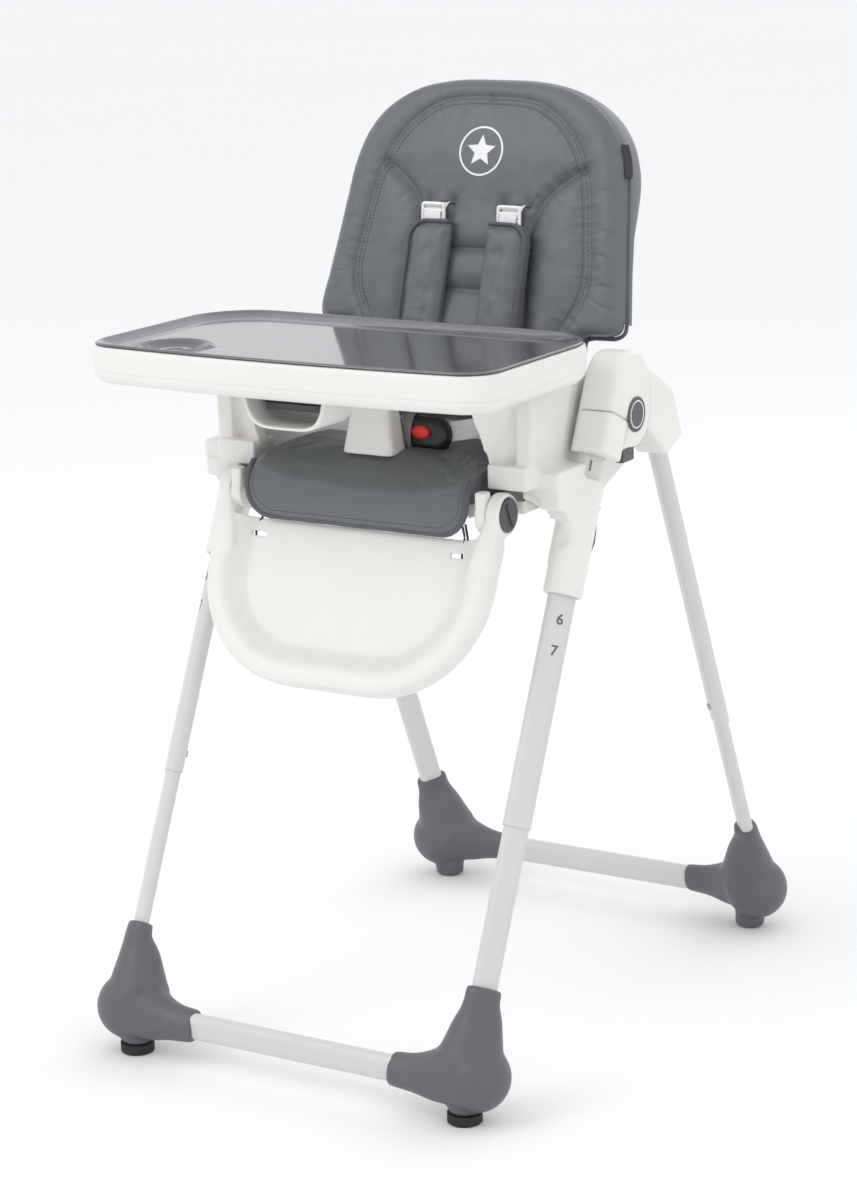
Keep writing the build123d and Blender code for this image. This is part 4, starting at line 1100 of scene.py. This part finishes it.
def make_pocket():
    """Open scoop under the front of the tray, round a finger pull."""
    half = smooth_line(POCKET_SECTION, 34)
    outer = half + [(-x, z) for x, z in reversed(half[:-1])]
    rings = []
    levels = ((83, 4.0), (84.6, 2.5), (85.2, 0.8), (84.6, 0.0), (82, -0.2), (60, 0.0), (24, 0.0), (20.6, 0.5),
              (19.8, 1.8), (20.6, 3.2), (24, 3.7), (60, 3.9), (79, 4.2), (80.5, 6), (81, 12))
    for y, inset in levels:
        ring = []
        for x, z in outer:
            shrink = 1 - inset / 56
            ring.append(at(x * shrink, y, min(822, z + inset * (1 if z < 800 else (822 - z) / 22))))
        rings.append(ring)
    vertices, faces = [], []
    count = len(rings[0])
    for ring in rings:
        vertices += ring
    for r in range(len(rings) - 1):
        for k in range(count - 1):
            faces.append((r * count + k, r * count + k + 1, (r + 1) * count + k + 1, (r + 1) * count + k))
    last = (len(rings) - 1) * count
    for k in range(count // 2):
        faces.append((last + k, last + k + 1, last + count - 2 - k, last + count - 1 - k))
        faces.append((k, k + 1, count - 2 - k, count - 1 - k))
    new_piece("tray_pull_pocket", vertices, faces, WHITE, "tray")


def make_liner():
    """Glossy lift-off liner: a rolled rim, a wall that slopes in, a flat floor and a round cup well."""
    top = TRAY_TOP
    cx, cy = CUP
    wall = CUP_RADIUS

    def height(x, y, inset):
        rim = [(3.5, 0.6), (4.2, 2.2), (5.6, 3.2), (7.4, 3.3), (9.2, 2.6), (10.8, 1.4), (13, 0.2), (17, -1.3),
               (21, -2.7), (24, -3.6), (27, -4.0)]
        z = rim[-1][1]
        for (a, za), (b, zb) in zip(rim, rim[1:]):
            if inset <= b:
                t = max(0.0, (inset - a) / (b - a))
                z = za + (zb - za) * t
                break
        r = math.hypot(x - cx, y - cy)
        collar = 2.6 * math.exp(-((r - wall - 4.5) / 3.0) ** 2) * smoothstep(12, 22, inset)
        inside = 1 - smoothstep(wall - 3.0, wall + 2.2, r)
        floor = -8.6 + 0.9 * math.exp(-((r - wall * 0.55) / 2.5) ** 2)
        return top + (z + collar) * (1 - inside) + floor * inside

    insets = [3.5, 3.9, 4.6, 5.6, 6.8, 8.0, 9.2, 10.4, 11.8, 13.5, 15.5, 17.5, 19.5, 21.5, 23.5, 25.5, 28]
    loops = [tray_loop(i, 420) for i in insets]
    core = loops[-1]
    centre = (0.0, 140.0)
    shares = [k / 56 for k in range(1, 56)]
    for share in shares:
        loops.append([(x + (centre[0] - x) * share, y + (centre[1] - y) * share) for x, y in core])
    rings = []
    for number, loop in enumerate(loops):
        ring = []
        for x, y in loop:
            inset = insets[number] if number < len(insets) else 28.0
            ring.append(at(x, y, height(x, y, inset)))
        rings.append(ring)
    vertices, faces = loft(rings, (False, True))
    liner = new_piece("tray_liner", vertices, faces, LINER, "tray_insert")
    modifier(liner, "SOLIDIFY", thickness=0.0018, offset=-1)
    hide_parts("tray_insert")
    lip = [[at(x, y, z) for x, y in tray_loop(inset, 420)]
           for inset, z in ((3.2, top + 0.25), (2.9, top + 0.6), (3.2, top + 1.0), (4.0, top + 1.0),
                            (4.0, top + 0.25))]
    vertices, faces = loft(lip + [lip[0]], (False, False))
    new_piece("tray_liner_gasket", vertices, faces, GASKET, "tray_insert")


# ---- calf rest ----------------------------------------------------------
CALF_HALF, CALF_CORNER, CALF_LENGTH, CALF_TOP_EDGE = 188.0, 135.0, 225.0, 33.0
CALF_PIVOT = at(0, 183, 652)
CALF = leaning_frame(CALF_PIVOT, LEG_LEAN)
EAR_RADIUS = 25.0
EAR_INNER, EAR_OUTER = 172.5, 189.0


def calf_inset(x, s):
    """Distance in from the panel's outer edge."""
    flat = CALF_HALF - CALF_CORNER
    low_s = CALF_CORNER - CALF_LENGTH
    if s > low_s:
        return CALF_HALF - abs(x)
    if abs(x) > flat:
        return CALF_CORNER - math.hypot(abs(x) - flat, s - low_s)
    return CALF_LENGTH + s


def calf_front(inset):
    if inset < 11:
        return -18 + 11 * (1 - math.sqrt(max(0, 1 - ((11 - inset) / 11) ** 2)))
    return -18 + 1.2 * smoothstep(11, 24, inset) + 18.6 * smoothstep(19, 52, inset)


def make_calf_panel():
    """Shallow dished panel with a wide smooth rim and two arms that rise to the pivot rings."""
    flat = CALF_HALF - CALF_CORNER
    low_s = CALF_CORNER - CALF_LENGTH
    rows = [-CALF_TOP_EDGE - (57 * k / 10) for k in range(11)]
    rows += [low_s - CALF_CORNER * math.sin(math.pi / 2 * k / 30) for k in range(1, 31)]
    rings = []
    for s in rows:
        half = CALF_HALF if s >= low_s else flat + math.sqrt(max(0.0, CALF_CORNER ** 2 - (s - low_s) ** 2))
        ring = []
        for k in range(81):
            x = half * math.sin(math.pi / 2 * (k / 40 - 1))
            ring.append((x, calf_front(max(0.0, calf_inset(x, s))), s))
        ring += [(half, 2, s), (half, 9.5, s)]
        inner = max(1.0, half - 4)
        for k in range(80, -1, -1):
            x = inner * math.sin(math.pi / 2 * (k / 40 - 1))
            inset = max(0.0, calf_inset(x, s))
            ring.append((x, 9.5 if inset < 4.2 else calf_front(inset) + 3.6, s))
        ring += [(-half, 9.5, s), (-half, 2, s)]
        rings.append([Vector(p) * MM for p in ring])
    vertices, faces = loft(rings)
    for side in (-1, 1):
        arm = []
        for s, inner_x, front, behind in ((-96, 160, -15, 3), (-70, 156, -17.5, 5), (-45, 160, -18.5, 7),
                                          (-24, 166, -20, 11), (-8, 171, -23, 16), (6, 174, -22, 18)):
            outer_x = CALF_HALF + 0.3
            mid_x, half_x = (inner_x + outer_x) / 2, (outer_x - inner_x) / 2
            mid_n, half_n = (front + behind) / 2, (behind - front) / 2
            ring = []
            for k in range(32):
                a = 2 * math.pi * k / 32
                wide = math.copysign(abs(math.cos(a)) ** 0.55, math.cos(a))
                deep = math.copysign(abs(math.sin(a)) ** 0.55, math.sin(a))
                ring.append(Vector((side * (mid_x + half_x * wide), mid_n + half_n * deep, s)) * MM)
            arm.append(ring)
        ear = []
        for x, radius in ((EAR_INNER, 18), (EAR_INNER, EAR_RADIUS - 1), (EAR_INNER + 0.8, EAR_RADIUS),
                          (EAR_OUTER - 3, EAR_RADIUS), (EAR_OUTER - 1, EAR_RADIUS - 0.8),
                          (EAR_OUTER, EAR_RADIUS - 3), (EAR_OUTER, 21), (EAR_OUTER - 0.6, 20.2), (183.5,
                                                                                                  20.1), (183.5, 6)):
            ear.append([Vector((side * x, radius * math.cos(a), radius * math.sin(a))) * MM
                        for a in turns(64)])
        for rings_of in (arm, ear):
            add_mesh(vertices, faces, *loft(rings_of))
    panel = new_piece("calf_rest_panel", vertices, faces, WHITE, None)
    remesh(panel, 0.0018)
    modifier(panel, "SMOOTH", factor=0.5, iterations=5)
    cutter_vertices, cutter_faces = [], []
    for x in (-134, 134):
        ring = [(x + 10 * cx, n, -52 + 3 * cz)
                for n in (-40, 40) for cx, cz in ((-1, -1), (1, -1), (1, 1), (-1, 1))]
        add_mesh(cutter_vertices, cutter_faces, [Vector(p) * MM for p in ring],
                 ((0, 1, 2, 3), (7, 6, 5, 4), (0, 4, 5, 1), (1, 5, 6, 2), (2, 6, 7, 3), (3, 7, 4, 0)))
    cutter = new_piece("slot_cutter", cutter_vertices, cutter_faces, WHITE, None,
                       smooth=False)
    modifier(panel, "BOOLEAN", object=cutter, operation="DIFFERENCE", solver="EXACT")
    apply_modifiers(panel)
    bpy.data.objects.remove(cutter)
    smooth_shading(panel)
    panel.data.transform(CALF)
    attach(panel, "calf_rest")
    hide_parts("calf_panel")


def make_elastic():
    """Black elastic strands that hold the flap's corners down to the calf rest."""
    for number, x, y0, z0, x1, z1 in ((1, 137, 168, 640, 139, 596), (2, 141, 169, 640, 146, 597),
                                      (3, -137, 168, 638, -140, 600)):
        controls = (Vector((x, y0, z0)), Vector((x + 2, 170, z0 - 16)), Vector((x1 - 2, 168, z1 + 14)),
                    Vector((x1, 163, z1)))
        path = [at(*p) for p in curve_points(controls, 24)]
        piping(f"flap_elastic_{number}", path, "calf_rest", 1.3 * MM, RUBBER, sides=8)


# ---- leg numerals -------------------------------------------------------
FRONT_LEG_FOOT = (235.0, 32.0, 149.0)
NUMERAL_PLACES = ((1, 599.0), (6, 420.0), (7, 384.0))


def make_numerals():
    """Height numbers printed on the front wide face of each front leg."""
    for name, side in SIDES:
        leg = leaning_frame(at(side * FRONT_LEG_FOOT[0], *FRONT_LEG_FOOT[1:]), LEG_LEAN)
        turn = leg @ Matrix.Rotation(side * math.radians(45), 4, "Z")
        for digit, along in NUMERAL_PLACES:
            text = bpy.data.curves.new(f"numeral_{digit}_{name}", "FONT")
            text.body = str(digit)
            text.size = 17 * MM
            text.align_x = "CENTER"
            text.align_y = "CENTER"
            text.extrude = 0.00012
            text.offset = 0.0003
            text.materials.append(NUMERAL)
            flat = bpy.data.objects.new("numeral_source", text)
            bpy.context.scene.collection.objects.link(flat)
            graph = bpy.context.evaluated_depsgraph_get()
            mesh = bpy.data.meshes.new_from_object(flat.evaluated_get(graph))
            bpy.data.objects.remove(flat)
            depth = (-19 / 2 - 0.15) * MM
            place = turn @ Matrix.Translation((0, depth, along * MM)) @ Matrix.Rotation(math.pi / 2, 4, "X")
            mesh.transform(place)
            numeral = bpy.data.objects.new(f"leg_numeral_{digit}_{name}", mesh)
            bpy.context.scene.collection.objects.link(numeral)
            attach(numeral, "front_frame")


# ---- boots --------------------------------------------------------------
BALL_RADIUS = 40.0
BAR_Z = 48.5


def ellipse_reach(angle, wide, deep, turn):
    return 1 / math.hypot(math.cos(angle - turn) / wide, math.sin(angle - turn) / deep)


def make_foot_cap(name, side, leg_top, lean, turn, ball, bar_y, post, node):
    """Boot that flows from the leg socket round the heel bulb into the crossbar socket."""
    up = Vector((0, math.sin(lean), math.cos(lean)))
    top = Vector(leg_top)
    ball = Vector(ball)
    route = [top, top - up * 18, top.lerp(ball, 0.46) + Vector((-4, 0, 3)), ball + Vector((-13, 0, 9)),
             Vector((200, (ball.y + bar_y * 2) / 3, BAR_Z + 3.5)), Vector((166, bar_y, BAR_Z + 0.5)),
             Vector((134, bar_y, BAR_Z))]
    sizes = ((21, 14.6, turn), (21.5, 16.5, turn), (29, 26, turn), (39, 37, 0), (33, 27, 0), (23, 17, 0),
             (19.8, 14, 0))
    path = curve_points(route, 49)
    reach = curve_points([Vector(s) for s in sizes], 49)
    across = Vector((1, 0, 0))
    rings = []
    for i, point in enumerate(path):
        ahead = (path[min(i + 1, 48)] - path[max(i - 1, 0)]).normalized()
        deep = ahead.cross(across).normalized() * -1
        across = deep.cross(ahead).normalized() * -1
        across = across if across.dot(Vector((1, 0, 0)) if i == 0 else last) > 0 else -across
        last = across.copy()
        rings.append([point + (across * math.cos(a) + deep * math.sin(a))
                      * ellipse_reach(a, reach[i].x, reach[i].y, reach[i].z)
                      for a in turns(48)])
    vertices, faces = loft(rings)
    bulb = [[ball + Vector((r * math.cos(a), r * math.sin(a), BALL_RADIUS * math.sin(h)))
             for a in turns(48)]
            for h, r in [(h, BALL_RADIUS * math.cos(h))
                         for h in [math.pi * (k / 24 - 0.5) * 0.98 for k in range(25)]]]
    foot = [[Vector((post[0] + post[2] * grow * math.cos(a), post[1] + post[2] * grow * math.sin(a), z))
             for a in turns(40)]
            for z, grow in ((post[3] + 0.2, 0.9), (post[3] + 1.6, 1.0), (34, 1.0), (52, 1.0))]
    for more_rings in (bulb, foot):
        add_mesh(vertices, faces, *loft(more_rings))
    placed = [at(side * v[0], v[1], v[2]) for v in vertices]
    body = "front_frame" if "front" in node else "rear_frame"
    cap = new_piece(name, placed, faces, GREY, None)
    remesh(cap, 0.0021)
    modifier(cap, "SMOOTH", factor=0.5, iterations=26)
    apply_modifiers(cap)
    smooth_shading(cap)
    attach(cap, body)
    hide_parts(node)


def make_foot_caps():
    rear_low = Vector((0, math.sin(REAR_LEAN), -math.cos(REAR_LEAN))) * REAR_LEG_LENGTH
    rear_top = (235, 452 + rear_low.y, 692 + rear_low.z)
    for name, side in SIDES:
        make_foot_cap(f"front_boot_{name}", side, (235, 32, 149), LEG_LEAN, math.radians(45), (237, 6,
                                                                                               53), -6,
                      (225, 0, 19, 12), f"front_foot_cap_{name}")
        make_foot_cap(f"rear_boot_{name}", side, rear_top, -REAR_LEAN, -math.radians(45), (237, 727, 53),
                      735, (227, 728, 19, 0), f"rear_foot_cap_{name}")


# ---- hubs ---------------------------------------------------------------
def mould_from_nodes(name, nodes, voxel, passes, material, body):
    """One smooth moulding that stands for several CAD nodes of the same body."""
    vertices, faces = [], []
    for node in nodes:
        mesh = NODES[node].data
        add_mesh(vertices, faces, [v.co.copy() for v in mesh.vertices],
                 [tuple(p.vertices) for p in mesh.polygons])
    piece = new_piece(name, vertices, faces, material, None)
    remesh(piece, voxel)
    modifier(piece, "SMOOTH", factor=0.5, iterations=passes)
    apply_modifiers(piece)
    smooth_shading(piece)
    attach(piece, body)
    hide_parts(*nodes)
    return piece


def make_hubs():
    for name, _ in SIDES:
        mould_from_nodes(f"hub_{name}", (f"hub_outer_shell_{name}", f"hub_inner_shell_{name}"), 0.0018, 60,
                         WHITE, "front_frame")


MOULDINGS = (("hub_collar_left", "front_frame"), ("hub_collar_right", "front_frame"),
             ("rear_socket_left", "rear_frame"), ("rear_socket_right", "rear_frame"),
             ("crotch_post", "tray"), ("backrest_shell", "backrest"))


def make_mouldings():
    """Mouldings with rounded edges that stand for sharp-edged CAD nodes."""
    for node, body in MOULDINGS:
        mould_from_nodes(f"{node}_moulding", (node,), 0.0018, 5, WHITE, body)


def make_badge_rings():
    """Thin pale ring let into each hub badge."""
    for name, side in SIDES:
        low, high = (Vector(p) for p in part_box("hub_badges"))
        middle = (low + high) / 2
        face_x = high.x if side > 0 else low.x
        rings = []
        for k in range(49):
            a = 2 * math.pi * k / 48
            ring = []
            for j in range(8):
                b = 2 * math.pi * j / 8
                reach = 0.0155 + 0.0009 * math.cos(b)
                ring.append(Vector((face_x + side * 0.0004 * math.sin(b), middle.y + reach * math.cos(a),
                                    middle.z + reach * math.sin(a))))
            rings.append(ring)
        vertices, faces = loft(rings, (False, False))
        new_piece(f"hub_badge_ring_{name}", vertices, faces, WHITE, "front_frame")


# ---- side panels --------------------------------------------------------
ARCH_CUT = (190.0, 213.5)              # across, the gap between the side wall and the sleeve
ARCH_TOP, ARCH_LOW = 548.0, 462.0      # along the front leg
FLARE_LOW = (700, ((156, 200), (188, 211), (211, 240), (213, 262), (196, 262), (187, 233), (156, 221)))
FLARE_HIGH = (793, ((150, 152), (204, 205), (213, 240), (214, 296), (196, 296), (190, 217), (150, 173)))


def solid_between(name, low_ring, high_ring):
    vertices, faces = loft([low_ring, high_ring])
    return new_piece(name, vertices, faces, WHITE, None, smooth=False)


def box_solid(name, side, x, y, z):
    corners = ((x[0], y[0]), (x[1], y[0]), (x[1], y[1]), (x[0], y[1]))
    return solid_between(name, *([at(side * a, b, height) for a, b in corners] for height in z))


def arch_cutter(side):
    """Closed arch-shaped block that opens the web between the side wall and the sleeve."""
    low, high = (v - 235.0 for v in ARCH_CUT)
    half = (high - low) / 2
    outline = [(low, ARCH_LOW), (high, ARCH_LOW)]
    outline += [((low + high) / 2 + half * math.cos(a), ARCH_TOP - half + half * math.sin(a))
                for a in [math.pi * k / 12 for k in range(13)]]
    place = leaning_frame(at(side * 235, 32, 149), LEG_LEAN)
    rings = [[place @ (Vector((side * x, depth, z)) * MM) for x, z in outline] for depth in (-60, 60)]
    return solid_between("arch_cutter", *rings)


def make_side_panels():
    """Side walls with their armrests: the front of each slopes back and outward."""
    for name, side in SIDES:
        node = f"side_panel_{name}"
        mesh = NODES[node].data
        panel = new_piece(f"armrest_{name}", [v.co.copy() for v in mesh.vertices],
                          [tuple(p.vertices) for p in mesh.polygons], WHITE, None)
        remesh(panel, 0.002)
        cutters = (arch_cutter(side), box_solid("flange_cutter", side, (140, 262), (120, 196), (680, 810)),
                   box_solid("lip_cutter", side, (172, 262), (120, 209), (600, 680)),
                   box_solid("flare_cutter", side, (212.5, 262), (120, 300), (703, 810)))
        for cutter in cutters:
            modifier(panel, "BOOLEAN", object=cutter, operation="DIFFERENCE", solver="EXACT")
            apply_modifiers(panel)
            bpy.data.objects.remove(cutter)
        join_solids(panel, (
            solid_between("flare", *([at(side * x, y, z) for x, y in outline]
                                     for z, outline in (FLARE_LOW, FLARE_HIGH))),
            box_solid("knuckle", side, (158, 207), (190, 236), (678, 706))))
        remesh(panel, 0.0018)
        modifier(panel, "SMOOTH", factor=0.5, iterations=9)
        apply_modifiers(panel)
        smooth_shading(panel)
        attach(panel, "seat")
        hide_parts(node)


def join_solids(piece, others):
    """Add the meshes of other solids to a piece, and drop them."""
    vertices = [v.co.copy() for v in piece.data.vertices]
    faces = [tuple(p.vertices) for p in piece.data.polygons]
    for other in others:
        add_mesh(vertices, faces, [v.co.copy() for v in other.data.vertices],
                 [tuple(p.vertices) for p in other.data.polygons])
        bpy.data.objects.remove(other)
    mesh = bpy.data.meshes.new(piece.name)
    mesh.from_pydata([tuple(v) for v in vertices], [], faces)
    for material in piece.data.materials:
        mesh.materials.append(material)
    piece.data = mesh


# ---- camera, light and floor --------------------------------------------
def add_stage():
    scene = bpy.context.scene
    scene.view_settings.view_transform = "Standard"
    scene.view_settings.look = "None"
    azimuth, elevation, roll = math.radians(31.43), math.radians(14.03), math.radians(-1.35)
    back = Vector((math.sin(azimuth) * math.cos(elevation), -math.cos(azimuth) * math.cos(elevation),
                   math.sin(elevation)))
    right = Vector((math.cos(azimuth), math.sin(azimuth), 0))
    up = back.cross(right)
    turned_right = math.cos(roll) * right + math.sin(roll) * up
    turned_up = math.cos(roll) * up - math.sin(roll) * right
    matrix = Matrix((turned_right, turned_up, back)).transposed().to_4x4()
    matrix.translation = Vector((1.9526, -3.2452, 1.4393))
    lens = bpy.data.cameras.new("camera")
    lens.lens = 96.96
    lens.sensor_width = 36
    camera = bpy.data.objects.new("camera", lens)
    camera.matrix_world = matrix
    scene.collection.objects.link(camera)
    scene.camera = camera

    world = bpy.data.worlds.new("studio")
    world.use_nodes = True
    world.node_tree.nodes["Background"].inputs["Color"].default_value = (0.97, 0.98, 1.0, 1)
    world.node_tree.nodes["Background"].inputs["Strength"].default_value = 1.0
    scene.world = world
    lamps = (("key", (-1.6, -2.8, 3.2), 2.0, 30), ("fill", (3.4, -1.0, 1.8), 2.4, 8),
             ("rear", (0.6, 3.0, 2.8), 2.4, 12))
    for name, place, size, power in lamps:
        light = bpy.data.lights.new(name, "AREA")
        light.shape = "SQUARE"
        light.size = size
        light.energy = power
        lamp = bpy.data.objects.new(name, light)
        lamp.location = place
        aim = Vector((0, 0, 0.6)) - Vector(place)
        lamp.rotation_euler = aim.to_track_quat("-Z", "Y").to_euler()
        scene.collection.objects.link(lamp)

    floor_mesh = bpy.data.meshes.new("floor")
    reach = 40.0
    floor_mesh.from_pydata([(-reach, -reach, 0), (reach, -reach, 0), (reach, reach, 0), (-reach, reach, 0)],
                           [], [(0, 1, 2, 3)])
    floor_mesh.materials.append(new_material("pale_floor", (0.93, 0.93, 0.93), 0.9, spread=0.004,
                                             patch=0.4, bump=0.0))
    floor = bpy.data.objects.new("floor", floor_mesh)
    scene.collection.objects.link(floor)


finish_nodes()
make_mouldings()
make_hubs()
make_side_panels()
make_foot_caps()
make_badge_rings()
cushion_skin = make_back_cushion()
make_print(cushion_skin)
make_slots(cushion_skin)
make_tag()
for side_name, side_sign in SIDES:
    make_shoulder_pad(side_name, side_sign)
make_shoulder_straps()
make_seat_cover()
make_buckle()
make_tray()
make_calf_panel()
make_elastic()
make_numerals()
add_stage()
